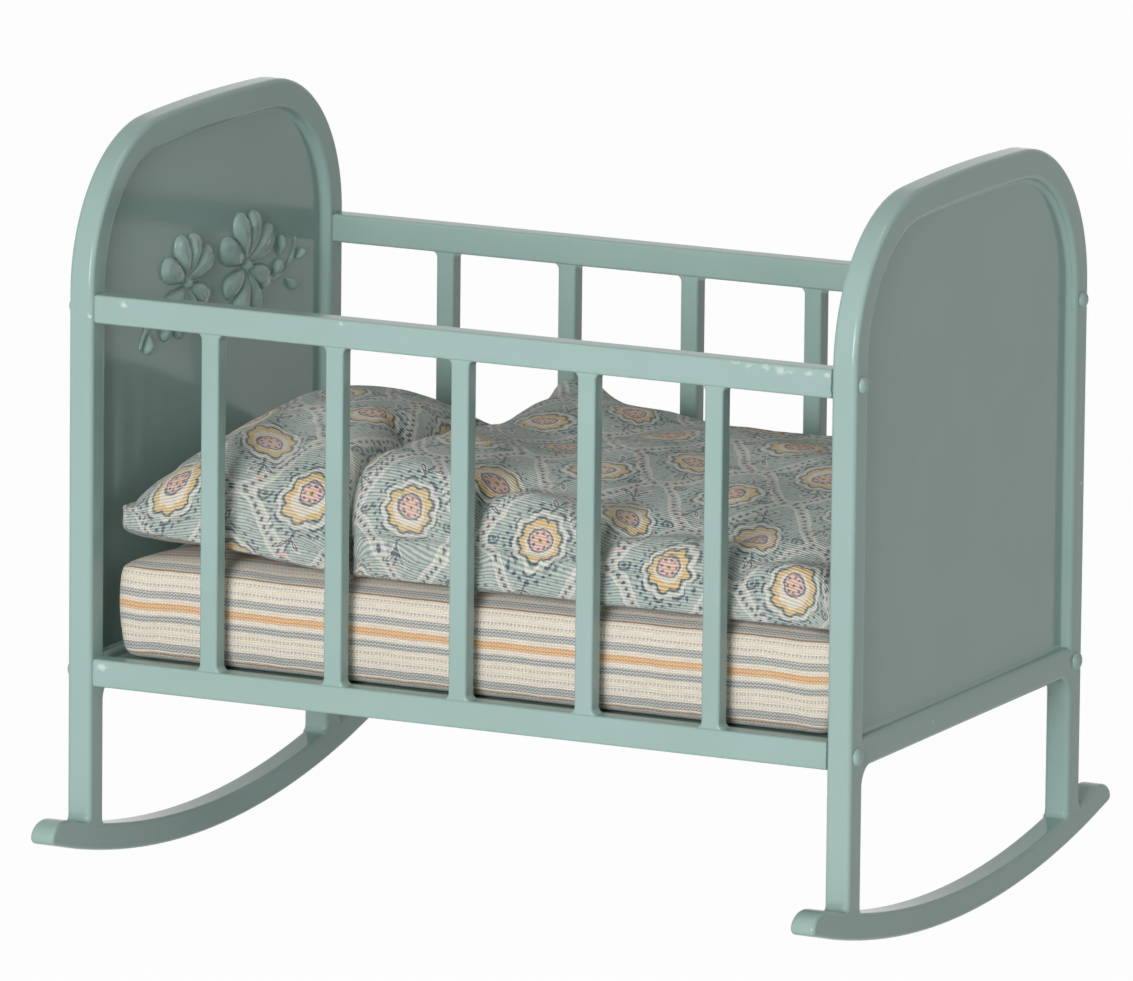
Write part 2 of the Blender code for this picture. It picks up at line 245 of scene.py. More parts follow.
class Number:
    """A shader socket with a number, on which Python's operators add Math nodes."""

    def __init__(self, finish, socket):
        self.finish = finish
        self.socket = socket

    __add__ = maths("ADD")
    __radd__ = maths("ADD", flipped=True)
    __sub__ = maths("SUBTRACT")
    __rsub__ = maths("SUBTRACT", flipped=True)
    __mul__ = maths("MULTIPLY")
    __rmul__ = maths("MULTIPLY", flipped=True)
    __truediv__ = maths("DIVIDE")
    __rtruediv__ = maths("DIVIDE", flipped=True)
    __abs__ = maths("ABSOLUTE")
    __lt__ = maths("LESS_THAN")
    __gt__ = maths("GREATER_THAN")
    high = maths("MAXIMUM")
    cos = maths("COSINE")
    sin = maths("SINE")
    root = maths("SQRT")
    bearing_to = maths("ARCTAN2")
    wrapped = maths("WRAP")

    def wrap(self, period):
        """The number moved by whole periods to between minus and plus half a period."""
        return self.wrapped(period / 2, -period / 2)

    def ramp(self, start, end, out_start=0.0, out_end=1.0):
        """A smooth step from out_start to out_end between two values of the number."""
        settings = {"interpolation_type": "SMOOTHSTEP"}
        values = {0: self, 1: start, 2: end, 3: out_start, 4: out_end}
        return self.finish.number("ShaderNodeMapRange", settings, values)


class Finish:
    """The node tree of a material or a world, to which nodes are added one by one."""

    def __init__(self, owner):
        owner.use_nodes = True
        self.owner = owner
        self.tree = owner.node_tree
        self.shader = self.tree.nodes.get("Principled BSDF")

    def close(self, name, surface):
        """Links a shader to the tree's output."""
        self.tree.links.new(surface, self.tree.nodes[name].inputs["Surface"])

    def node(self, kind, settings, values):
        """Adds a node, sets its settings and then the values or links of its sockets."""
        node = self.tree.nodes.new(kind)
        for setting, value in settings.items():
            setattr(node, setting, value)
        for key, value in values.items():
            self.feed(node.inputs[key], value)
        return node

    def feed(self, socket, value):
        if isinstance(value, Number):
            self.tree.links.new(value.socket, socket)
        elif isinstance(value, bpy.types.NodeSocket):
            self.tree.links.new(value, socket)
        elif socket.type == "RGBA":
            socket.default_value = (*value, 1.0)
        else:
            socket.default_value = value

    def set_shader(self, values):
        """Sets or links sockets of the surface's shader."""
        for key, value in values.items():
            self.feed(self.shader.inputs[key], value)

    def number(self, kind, settings, values, output=0):
        return Number(self, self.node(kind, settings, values).outputs[output])

    def split(self, vector):
        node = self.node("ShaderNodeSeparateXYZ", {}, {0: vector})
        return [Number(self, output) for output in node.outputs]

    def join(self, x, y, z):
        return self.node("ShaderNodeCombineXYZ", {}, {0: x, 1: y, 2: z}).outputs[0]

    def mix(self, share, first, second):
        """One colour turning into another by a share from 0 to 1."""
        settings = {"data_type": "RGBA"}
        return self.node("ShaderNodeMix", settings, {0: share, 6: first, 7: second}).outputs[2]

    def cover(self, colour, layers):
        """A colour under several others, each with its own share."""
        for share, over in layers:
            colour = self.mix(share, colour, over)
        return colour

    def noise(self, vector, scale, detail=2.0, roughness=0.5):
        values = {"Vector": vector, "Scale": scale, "Detail": detail, "Roughness": roughness}
        return self.number("ShaderNodeTexNoise", {}, values)

    def object_place(self):
        return self.node("ShaderNodeTexCoord", {}, {}).outputs["Object"]

    def cloth_place(self):
        return self.node("ShaderNodeUVMap", {"uv_map": "cloth"}, {}).outputs[0]

    def bump(self, height, distance, strength=1.0, normal=None):
        values = {"Height": height, "Distance": distance, "Strength": strength}
        if normal is not None:
            values["Normal"] = normal
        return self.node("ShaderNodeBump", {}, values).outputs[0]


# Pale spots in the enamel, partly chips and scuffs and partly painted highlights of light glinting off
# small dents: place and radius in mm, and how pale each is
CHIPS_AND_GLINTS = [
    ((-54.2, -39.5, 85.4), 0.42, 0.62),
    ((-18.8, -39.5, 85.9), 0.36, 0.50),
    ((-57.4, -39.5, 31.6), 0.50, 0.50),
    ((43.8, -39.5, 86.1), 0.32, 0.28),
    ((46.0, -39.5, 86.0), 0.36, 0.32),
    ((48.4, -39.5, 85.9), 0.38, 0.36),
    ((50.8, -39.5, 85.7), 0.46, 0.44),
    ((52.2, -39.5, 85.6), 0.40, 0.40),
    ((55.3, -39.5, 85.6), 0.44, 0.46),
    ((58.4, -39.5, 85.7), 0.42, 0.46),
    ((62.9, -12.0, 31.0), 0.26, 0.40),
    ((62.9, 38.5, 57.0), 0.28, 0.45),
    ((-59.2, -39.9, 83.4), 0.30, 0.60),
]
CHIP_AND_GLINT_STRETCH = 1.7

# Where the unfilled joints between the rails and the footboard show as a dark line, in mm
SEAM_PLACE = HALF_GATE / MM + 0.06
SEAM_DARK = (0.060, 0.090, 0.085)


def enamel_finish(colours):
    """Thick glossy paint: slow changes of tone, faint orange peel, pale chips with painted glints, and worn
    edges.
    """
    finish = Finish(bpy.data.materials.new("sage_enamel"))
    place = finish.object_place()
    slow = finish.noise(place, 45.0, 3.0, 0.55)
    fine = finish.noise(place, 900.0, 2.0, 0.6)
    pool = slow.ramp(0.35, 0.70)
    colour = finish.mix(pool * 0.45, colours.enamel, colours.enamel_deep)
    edge = finish.number("ShaderNodeNewGeometry", {}, {}, "Pointiness")
    worn = edge.ramp(0.53, 0.60) * slow.ramp(0.45, 0.70)
    colour = finish.mix(worn * 0.10, colour, colours.enamel_chip_and_glint)
    wander = finish.noise(place, 1100.0, 2.0, 0.6)
    x, y, z = finish.split(place)
    flat_place = finish.join(x * (1.0 / CHIP_AND_GLINT_STRETCH), y, z)
    chipped_and_glinting = None
    for centre, radius, pale in CHIPS_AND_GLINTS:
        middle = [value * MM for value in centre]
        middle[0] /= CHIP_AND_GLINT_STRETCH
        values = {0: flat_place, 1: middle}
        away = finish.number("ShaderNodeVectorMath", {"operation": "DISTANCE"}, values, 1)
        away = away * 1000.0 + wander * 1.3 - 0.65
        spot = away.ramp(radius * 0.1, radius * 1.4, pale, 0.0)
        chipped_and_glinting = spot if chipped_and_glinting is None else chipped_and_glinting.high(spot)
    # Mixes in the pale spots: chips in the paint, and painted highlights where light glints off small dents
    colour = finish.mix(chipped_and_glinting, colour, colours.enamel_chip_and_glint)
    seam = abs(x * 1000.0 - SEAM_PLACE + wander * 0.3).ramp(0.06, 0.20, 1.0, 0.0)
    at_top = (z > RAIL_LOW.z) * (z < RAIL_HIGH.z)
    at_low = (z > LOW_RAIL_LOW.z) * (z < LOW_RAIL_HIGH.z)
    seam = seam * (abs(y) > RAIL_INSIDE) * at_top.high(at_low)
    colour = finish.mix(seam * 0.80, colour, SEAM_DARK)
    swell = finish.noise(place, 160.0)
    peel = finish.noise(place, 620.0)
    height = swell * 0.75 + peel * 0.25 - chipped_and_glinting * 0.20
    values = {
        "Base Color": colour,
        "Roughness": fine * 0.04 + slow * 0.08 + 0.07 + chipped_and_glinting * 0.25,
        "Normal": finish.bump(height, 0.035 * MM, 0.5),
        "IOR": 1.30,
    }
    finish.set_shader(values)
    return finish.owner


# The mattress cloth's repeat in mm, from one amber stripe to the next, and its stripes:
# place, half width, colour and how much of the ground shows through
TICKING_REPEAT = 13.0
TICKING_START = 40.0
TICKING_STRIPES = [
    (0.0, 0.56, "amber", 0.50),
    (1.85, 0.56, "slate", 0.62),
    (-1.85, 0.56, "slate", 0.62),
    (-6.10, 0.58, "slate", 0.56),
    (3.30, 0.19, "slate", 0.30),
    (-3.30, 0.17, "umber", 0.50),
    (-4.60, 0.19, "slate", 0.35),
    (4.70, 0.15, "slate", 0.60),
    (5.60, 0.30, "umber", 0.30),
]
TICKING_DULL = (0.505, 0.455, 0.390)
TICKING_SHADE = (0.160, 0.125, 0.090)


def ticking_finish(colours):
    """Heavy woven stripes: cream ground, slate and amber bands in a small zigzag weave, dashed lines."""
    finish = Finish(bpy.data.materials.new("woven_ticking"))
    u, v, _ = finish.split(finish.cloth_place())
    place = finish.object_place()
    wobble = finish.noise(place, 260.0, 2.0, 0.6)
    u = u * 1000.0
    v = v * 1000.0 + (wobble - 0.5) * 0.16
    yarn = finish.noise(finish.join(u * 0.35, v * 4.0, 0.0), 1.6, 2.0, 0.6)
    warp = (u * (2 * math.pi / 0.46)).sin()
    weft = (v * (2 * math.pi / 0.36)).cos()
    zigzag = ((u * (2 * math.pi / 0.62)).sin() * 1.4 + v * (2 * math.pi / 0.50)).sin()
    tooth = zigzag.ramp(-0.4, 0.6)
    dash = (u * (2 * math.pi / 0.62) + yarn * 2.0).sin()
    place_in = (v - TICKING_START).wrap(TICKING_REPEAT)
    colour = finish.mix(yarn.ramp(0.35, 0.7) * 0.30, colours.ticking, TICKING_DULL)
    for middle, half, name, through in TICKING_STRIPES:
        away = abs((place_in - middle).wrap(TICKING_REPEAT))
        band = away.ramp(half * 0.75, half * 1.25, 1.0, 0.0)
        if half < 0.2:
            cover = dash.ramp(-0.2, 0.5) * (1.0 - through * 0.6)
        else:
            cover = tooth * through * -1.0 + 1.0
        strength = 0.66 if half < 0.2 else 0.92
        colour = finish.mix(band * cover * strength, colour, getattr(colours, name))
    fleck = finish.noise(finish.join(u * 0.9, v * 2.4, 0.0), 2.3, 1.0, 0.5).ramp(0.62, 0.78)
    colour = finish.mix(fleck * 0.28, colour, colours.slate)
    weave = warp * 0.25 + weft * 0.35 + zigzag * 0.25
    shade = weave.ramp(-0.7, 0.5, 0.30, 0.0)
    values = {
        "Base Color": finish.mix(shade, colour, TICKING_SHADE),
        "Roughness": yarn * 0.12 + 0.82,
        "Normal": finish.bump(weave + yarn * 0.8, 0.09 * MM, 0.9),
        "Sheen Weight": 0.18,
        "Sheen Roughness": 0.45,
        "Specular IOR Level": 0.25,
    }
    finish.set_shader(values)
    return finish.owner


# The printed cotton's ogee lattice: half the distance between flowers along and across, in mm
OGEE_ALONG = 10.2
OGEE_ACROSS = 11.6
RIB_PITCH = 0.48
RIB_SHADE = (0.060, 0.085, 0.082)

# How far the print is moved along and across on each piece, in mm
PRINT_SHIFTS = {"pillow_print": (3.5, -2.0), "quilt_print": (-4.5, 4.0)}


def near(number, half, soft=0.10):
    """1 where the number is within half of zero, with soft edges."""
    return abs(number).ramp(half - soft, half + soft, 1.0, 0.0)


def within(number, limit, soft=0.06):
    """1 where the number is below a limit, with a soft edge."""
    return (number - limit).ramp(-soft, soft, 1.0, 0.0)


def distance(x, y):
    return (x * x + y * y).root()


def print_finish(name, colours, shift):
    """Ribbed cotton with a block print: a dotted ogee lattice with a scalloped flower in each cell."""
    finish = Finish(bpy.data.materials.new(name))
    u, v, _ = finish.split(finish.cloth_place())
    place = finish.object_place()
    wander = finish.noise(place, 250.0, 3.0, 0.55) - 0.5
    drift = finish.noise(place, 210.0, 3.0, 0.55) - 0.5
    bleed = finish.noise(place, 1500.0, 1.0, 0.5) - 0.5
    x = u * 1000.0 + wander * 1.8 + bleed * 0.60 + shift[0]
    y = v * 1000.0 + drift * 1.8 - bleed * 0.45 + shift[1]
    rib = (v * (1000.0 * 2 * math.pi / RIB_PITCH)).cos()
    slub = finish.noise(finish.join(u * 900.0, v * 5200.0, 0.0), 1.0, 2.0, 0.6)

    # The cell whose middle is nearest, inside the ogee curve or outside it
    ax = x.wrap(2 * OGEE_ALONG)
    ay = y.wrap(2 * OGEE_ACROSS)
    bx = (x + OGEE_ALONG).wrap(2 * OGEE_ALONG)
    by = (y + OGEE_ACROSS).wrap(2 * OGEE_ACROSS)
    turn = ax * (math.pi / OGEE_ALONG)
    over = abs(ay) - (turn.cos() + 1.0) * (OGEE_ACROSS / 2)
    slope = turn.sin() * (math.pi * OGEE_ACROSS / 2 / OGEE_ALONG)
    away = over / (slope * slope + 1.0).root()
    inside = over < 0.0
    flip = inside * 2.0 - 1.0
    py = (by + (ay - by) * inside) * flip
    px = bx + (ax - bx) * inside + py * 0.28

    # Lattice: a pale band between two paler lines, with a row of dots on it
    length = math.hypot(OGEE_ALONG, OGEE_ACROSS)
    along = abs(ax) * (OGEE_ALONG / length) - abs(ay) * (OGEE_ACROSS / length)
    band = near(away, 0.75, 0.12)
    lines = near(abs(away) - 0.78, 0.16)
    dots_run = along.wrap(1.12)
    dots = near(distance(dots_run, away), 0.30)

    # Flower: scalloped ochre petals round a rose heart, with a pale and a broken dark outline
    fx = px - 0.2
    fy = py + 0.5
    uneven = (finish.noise(place, 75.0, 1.0, 0.5) - 0.5) * 0.55 + 1.0
    reach = (fx * fx * 1.12 + fy * fy * 0.86).root() * uneven
    bearing = fx.bearing_to(fy)
    scallop = abs((bearing * 4.5).cos())
    edge = reach - (scallop * 0.55 + 3.15)
    petals = within(edge, 0.0)
    petal_line = near(edge, 0.19)
    halo = near(edge - 0.62, 0.26)
    halo_line = near(edge - 1.15, 0.21) * (bearing * 9.0).cos().ramp(-0.5, -0.1)
    ring_bearing = bearing.wrap(2 * math.pi / 30) * 5.4
    beads = near(distance(ring_bearing, edge - 2.05), 0.27, 0.08)
    field = within(reach - scallop * 0.25, 2.35, 0.08)
    hx = px - 0.1
    hy = py + 1.1
    heart_reach = distance(hx, hy)
    heart = within(heart_reach, 1.70)
    heart_line = near(heart_reach - 1.76, 0.17)
    heart_turn = hx.bearing_to(hy)
    ring_run = heart_turn.wrap(2 * math.pi / 8) * 1.2
    ring = near(distance(ring_run, heart_reach - 1.18), 0.25, 0.08)
    pip = within(heart_reach, 0.50)
    pip_dot = within(heart_reach, 0.24)

    # Sprigs: a stem with two leaves above and below each flower, and curls to its sides
    sx = abs(px)
    sy = abs(py) - 7.1
    stem = near(sx, 0.19) * near(sy, 1.7)
    lx = sx - 0.95
    ly = sy - 0.35 + lx * -0.9
    leaf_reach = (lx * lx + ly * ly * 4.0).root()
    leaf = near(leaf_reach, 0.80)
    bud = near(distance(sx, sy - 2.0), 0.48)
    wing = abs(px) - 6.6
    curl_reach = distance(wing, py)
    curl = near(curl_reach - 0.80, 0.20) * (py > -0.45)
    curl_dot = near(curl_reach, 0.32)

    # Small specks that fill the ground between the marks
    speck_x = (x + y * 0.35).wrap(1.72)
    speck_y = (y - x * 0.22).wrap(1.46)
    specks = near((speck_x * speck_x * 0.6 + speck_y * speck_y).root(), 0.20, 0.12)

    navy = finish.mix(rib.ramp(0.2, 1.0) * 0.26, colours.navy, colours.cotton)
    rib_show = rib.ramp(-0.90, 1.0) * 0.58 + (slub - 0.5) * 1.5 + 0.13
    ground = finish.mix(rib_show.ramp(0.05, 0.95) * 0.62, colours.ground, colours.cotton)
    pale = finish.mix(rib.ramp(-1.0, 0.3, 0.30, 0.0), colours.cotton, colours.ground)
    ochre = finish.mix(rib.ramp(0.0, 0.9) * 0.62, colours.ochre, colours.cotton)
    rose = finish.mix(rib.ramp(0.0, 0.9) * 0.64, colours.rose, colours.cotton)
    fade = finish.noise(place, 110.0, 3.0, 0.6).ramp(0.35, 0.75)
    thin = slub.ramp(0.55, 0.80) * rib.ramp(0.0, 0.8)
    layers = [
        (specks * 0.50, navy),
        (band * 0.45, pale),
        (lines * 0.80, pale),
        (dots * 0.92, navy),
        (halo * 0.80, pale),
        (halo_line.high(beads) * 0.90, navy),
        (petals * 0.92, ochre),
        (field * 0.88, pale),
        (petal_line * 0.88, navy),
        (heart * 0.85, rose),
        (heart_line * 0.85, navy),
        (ring * 0.85, navy),
        (pip * 0.9, ochre),
        (pip_dot * 0.9, navy),
        (near(leaf_reach, 1.25) * 0.70, pale),
        (leaf * 0.88, navy),
        (near(leaf_reach, 0.30) * 0.75, pale),
        (bud * 0.75, rose),
        (stem.high(curl).high(curl_dot) * 0.88, navy),
        (fade * 0.18, colours.cotton),
        (thin * 0.50, colours.cotton),
        (rib.ramp(-1.0, -0.2, 0.20, 0.0), RIB_SHADE),
    ]
    crease = finish.noise(place, 380.0, 3.0, 0.55)
    soft = finish.bump(crease, 0.30 * MM, 0.6)
    values = {
        "Base Color": finish.cover(ground, layers),
        "Roughness": slub * 0.12 + 0.80,
        "Normal": finish.bump(rib * 0.6 + slub * 0.8, 0.07 * MM, 0.9, soft),
        "Sheen Weight": 0.22,
        "Sheen Roughness": 0.40,
        "Specular IOR Level": 0.25,
    }
    finish.set_shader(values)
    return finish.owner


def shared_finish(name):
    """The finish with that name, made the first time that it is asked for."""
    found = bpy.data.materials.get(name)
    if found:
        return found
    colours = bpy.context.scene.cradle_colours
    if name == "sage_enamel":
        return enamel_finish(colours)
    if name == "woven_ticking":
        return ticking_finish(colours)
    return print_finish(name, colours, PRINT_SHIFTS[name])


def mesh_object(name, bm, material):
    """An object at the origin from a bmesh, which is freed, with one material."""
    mesh = bpy.data.meshes.new(name)
    bm.to_mesh(mesh)
    bm.free()
    mesh.materials.append(material)
    obj = bpy.data.objects.new(name, mesh)
    bpy.context.scene.collection.objects.link(obj)
    return obj


def new_piece(name, bm, finish, smooth=40.0):
    """A smooth mesh object with faces outwards and one finish."""
    bmesh.ops.remove_doubles(bm, verts=bm.verts[:], dist=WELD)
    bmesh.ops.recalc_face_normals(bm, faces=bm.faces[:])
    obj = mesh_object(name, bm, shared_finish(finish))
    obj.data.shade_smooth()
    obj.data.set_sharp_from_angle(angle=math.radians(smooth))
    return obj


def metal_piece(name, bm, *nodes):
    """A piece of enamelled metal that rides on the cradle and stands for its nodes."""
    obj = new_piece(name, bm, "sage_enamel")
    even = obj.modifiers.new("even_shading", "WEIGHTED_NORMAL")
    even.keep_sharp = True
    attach(obj, CRADLE)
    if nodes:
        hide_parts(*nodes)
    return obj


def verts_of(geom):
    return [item for item in geom if isinstance(item, bmesh.types.BMVert)]


def edges_of(geom):
    return [item for item in geom if isinstance(item, bmesh.types.BMEdge)]


def bevel(bm, geom, radius, steps, affect="EDGES"):
    bmesh.ops.bevel(
        bm,
        geom=geom,
        offset=radius,
        offset_type="OFFSET",
        segments=steps,
        profile=0.5,
        affect=affect,
        material=-1,
        clamp_overlap=affect == "EDGES",
    )


def spin(bm, geom, centre, axis, angle, steps):
    """Spins a vertex or a ring of edges into a bent tube. Returns its far end."""
    spun = bmesh.ops.spin(bm, geom=geom, cent=centre, axis=axis, angle=angle, steps=steps)
    return spun["geom_last"]


def extrude_ring(bm, ring):
    """Extrudes a ring of edges in place. Returns the new vertices and the new ring."""
    made = bmesh.ops.extrude_edge_only(bm, edges=ring)["geom"]
    verts = set(verts_of(made))
    return verts, [edge for edge in edges_of(made) if set(edge.verts) <= verts]


def quarter_round(radius, steps):
    """The runs and the drops of the steps down a quarter of a circle, from its level end."""
    angles = [math.pi / 2 * step / steps for step in range(steps + 1)]
    for here, there in zip(angles, angles[1:]):
        run = radius * (math.cos(here) - math.cos(there))
        drop = radius * (math.sin(there) - math.sin(here))
        yield run, drop


def edges_along(edges, axis, least=WELD):
    """The edges whose ends lie further apart along an axis than a least length."""
    return [edge for edge in edges if abs(edge.verts[0].co[axis] - edge.verts[1].co[axis]) > least]


def sharp_edges(bm, angle=40.0):
    limit = math.radians(angle)
    return [edge for edge in bm.edges if len(edge.link_faces) == 2 and edge.calc_face_angle(0.0) > limit]


def box(bm, low, high):
    """A box between two corners, added to the bmesh. Returns its vertices."""
    low = Vector(low)
    high = Vector(high)
    place = Matrix.Translation((low + high) / 2) @ Matrix.Diagonal((*(high - low), 1.0))
    return bmesh.ops.create_cube(bm, size=1.0, matrix=place)["verts"]


def outline_face(bm, half, middle, rounded, radius, steps, axis, at):
    """A flat face across an axis, 0 for X or 1 for Y, from one half's corners, some of them rounded."""
    verts = []
    for first, second in half + [(2 * middle - first, second) for first, second in reversed(half)]:
        point = (at, first, second) if axis == 0 else (first, at, second)
        verts.append(bm.verts.new(point))
    bm.faces.new(verts)
    bevel(bm, [verts[index] for index in rounded], radius, steps, "VERTICES")
    return bm.faces[:]


def thicken(bm, faces, step):
    """Turns flat faces into a solid by extruding them along a step."""
    made = bmesh.ops.extrude_face_region(bm, geom=faces)["geom"]
    bmesh.ops.translate(bm, verts=verts_of(made), vec=step)
    bmesh.ops.recalc_face_normals(bm, faces=bm.faces[:])


def arch_centres():
    """Where the corners' circles lie across, the crown's lean, and the heights of both circles' middles."""
    across = HALF_WIDTH - CORNER_RADIUS
    lean = math.asin(across / (CROWN_RADIUS - CORNER_RADIUS))
    crown = HEIGHT - CROWN_RADIUS
    corner = crown + (CROWN_RADIUS - CORNER_RADIUS) * math.cos(lean)
    return across, lean, crown, corner


def run_along_arch(bm, geom, at, foot):
    """Carries a vertex or a ring of edges up one side, over the arch and down to the foot."""
    across, lean, crown, corner = arch_centres()
    start = min(vert.co.z for vert in verts_of(geom))
    last = lift(bm, geom, corner - start)
    turns = [
        ((at, across, corner), math.pi / 2 - lean, CORNER_STEPS),
        ((at, 0.0, crown), 2 * lean, CROWN_STEPS),
        ((at, -across, corner), math.pi / 2 - lean, CORNER_STEPS),
    ]
    for centre, angle, steps in turns:
        last = spin(bm, last, centre, (1.0, 0.0, 0.0), angle, steps)
    return lift(bm, last, foot - corner)


def lift(bm, geom, rise):
    """Extrudes a vertex or a ring of edges straight up or down. Returns its far end."""
    edges = edges_of(geom)
    if edges:
        verts, ring = extrude_ring(bm, edges)
    else:
        verts = bmesh.ops.extrude_vert_indiv(bm, verts=verts_of(geom))["verts"]
        ring = []
    bmesh.ops.translate(bm, verts=list(verts), vec=(0.0, 0.0, rise))
    return list(verts) + ring


def rocker_top(across):
    """The height of a rocker's upper side at a distance from the middle."""
    reach = ROCKER_RADIUS - ROCKER_HEIGHT
    return ROCKER_RADIUS - math.sqrt(reach**2 - across**2)


class CradleStep:
    """What all the steps that build the cradle share."""

    bl_options = {"REGISTER", "UNDO"}


class CRADLE_OT_arch_bars(CradleStep, bpy.types.Operator):
    """Bends a rounded square bar into each end's posts, legs and arch"""

    bl_idname = "cradle.arch_bars"
    bl_label = "Arch Bars"

    def execute(self, context):
        for end, side in ENDS.items():
            at = side * END_MIDDLE
            across = HALF_WIDTH - BAR_WIDTH / 2
            foot = rocker_top(across) - SINK
            bm = bmesh.new()
            size = Matrix.Diagonal((END_DEPTH, BAR_WIDTH, 1.0, 1.0))
            place = Matrix.Translation((at, across, foot)) @ size
            corners = bmesh.ops.create_grid(bm, x_segments=1, y_segments=1, size=0.5, matrix=place)["verts"]
            bevel(bm, corners, BAR_EDGE, SECTION_STEPS, "VERTICES")
            bmesh.ops.delete(bm, geom=bm.faces[:], context="FACES_ONLY")
            first = bm.edges[:]
            last = run_along_arch(bm, bm.verts[:] + first, at, foot)
            bmesh.ops.contextual_create(bm, geom=edges_of(last))
            bmesh.ops.contextual_create(bm, geom=first)
            metal_piece(end + "_bar", bm, end + "_arch_bar")
        return {"FINISHED"}


class CRADLE_OT_panels(CradleStep, bpy.types.Operator):
    """Fills each arch with a sheet whose rim rises softly to the bar on both faces"""

    bl_idname = "cradle.panels"
    bl_label = "Panels"

    def execute(self, context):
        sizes = context.scene.cradle_metal
        thickness = PANEL_HIGH.x - PANEL_LOW.x
        fillet = sizes.panel_fillet
        rim = thickness / 2 + fillet
        for end, side in ENDS.items():
            at = side * END_MIDDLE
            foot = CROSS_HIGH.z - 0.1 * MM
            bm = bmesh.new()
            start = bm.verts.new((at - rim, LEG_INSIDE + OVERLAP, foot))
            last = run_along_arch(bm, [start], at, foot)
            bm.edges.new((start, verts_of(last)[0]))
            bmesh.ops.remove_doubles(bm, verts=bm.verts[:], dist=WELD)
            bmesh.ops.contextual_create(bm, geom=bm.edges[:])
            thicken(bm, bm.faces[:], (2 * rim, 0.0, 0.0))
            sides = [face for face in bm.faces if abs(face.normal.x) > 0.9]
            for face in sides:
                for run, drop in quarter_round(fillet, PANEL_STEPS):
                    bmesh.ops.inset_region(
                        bm,
                        faces=[face],
                        thickness=run,
                        depth=-drop,
                        use_boundary=True,
                        use_even_offset=True,
                    )
            metal_piece(end + "_sheet", bm, end + "_panel")
        return {"FINISHED"}


class CRADLE_OT_cross_rails(CradleStep, bpy.types.Operator):
    """Puts a rail between the legs of each end, with rounded corners under its ends"""

    bl_idname = "cradle.cross_rails"
    bl_label = "Cross Rails"

    def execute(self, context):
        radius = context.scene.cradle_metal.brace_fillet
        inner = LEG_INSIDE + OVERLAP
        outer = inner + BAR_WIDTH / 2
        low = CROSS_LOW.z
        high = CROSS_HIGH.z
        tail = low - radius - 2 * BAR_EDGE
        for end, side in ENDS.items():
            at = side * END_MIDDLE
            bm = bmesh.new()
            half = [(outer, high), (outer, tail), (inner, tail), (inner, low)]
            depth = END_DEPTH - 2 * OVERLAP
            faces = outline_face(bm, half, 0.0, (3, 4), radius, 10, 0, at - depth / 2)
            thicken(bm, faces, (depth, 0.0, 0.0))
            bevel(bm, sharp_edges(bm), BAR_EDGE * 0.98, SECTION_STEPS)
            metal_piece(end + "_brace", bm, end + "_cross_rail")
        return {"FINISHED"}


class CRADLE_OT_rockers(CradleStep, bpy.types.Operator):
    """Bends a bar with bull-nosed tips into the arc that each end stands on"""

    bl_idname = "cradle.rockers"
    bl_label = "Rockers"

    def execute(self, context):
        reach = ROCKER_HIGH.y
        tip = ROCKER_RADIUS * math.asin(reach / (ROCKER_RADIUS - NOSE_LIP))
        stretch = NOSE_LENGTH / NOSE_DROP
        for end, side in ENDS.items():
            at = side * END_MIDDLE
            bm = bmesh.new()
            half = END_DEPTH / 2
            box(bm, (at - half, -tip, 0.0), (at + half, tip, ROCKER_HEIGHT))
            upper = [edge for edge in edges_along(bm.edges, 0) if edge.verts[0].co.z > WELD]
            bevel(bm, upper, NOSE_DROP, 9)
            lower = [edge for edge in edges_along(sharp_edges(bm, 80.0), 0) if edge.verts[0].co.z < WELD]
            bevel(bm, lower, NOSE_LIP, 5)
            nose = tip - NOSE_DROP
            for vert in bm.verts:
                past = abs(vert.co.y) - nose
                if past > -WELD and vert.co.z > NOSE_LIP:
                    past = NOSE_DROP - (NOSE_DROP - past) * stretch
                    vert.co.y = math.copysign(nose + past, vert.co.y)
            bmesh.ops.remove_doubles(bm, verts=bm.verts[:], dist=0.1 * MM)
            for step in range(1, ROCKER_CUTS):
                cut = tip * (2 * step / ROCKER_CUTS - 1) * ROCKER_CUT_REACH
                geom = bm.verts[:] + bm.edges[:] + bm.faces[:]
                bmesh.ops.bisect_plane(
                    bm, geom=geom, dist=WELD, plane_co=(0.0, cut, 0.0), plane_no=(0.0, 1.0, 0.0)
                )
            bevel(bm, sharp_edges(bm), ROCKER_EDGE, 4)
            for vert in bm.verts:
                angle = vert.co.y / ROCKER_RADIUS
                arm = ROCKER_RADIUS - vert.co.z
                vert.co.y = arm * math.sin(angle)
                vert.co.z = ROCKER_RADIUS - arm * math.cos(angle)
            metal_piece(end + "_runner", bm, end + "_rocker")
        return {"FINISHED"}


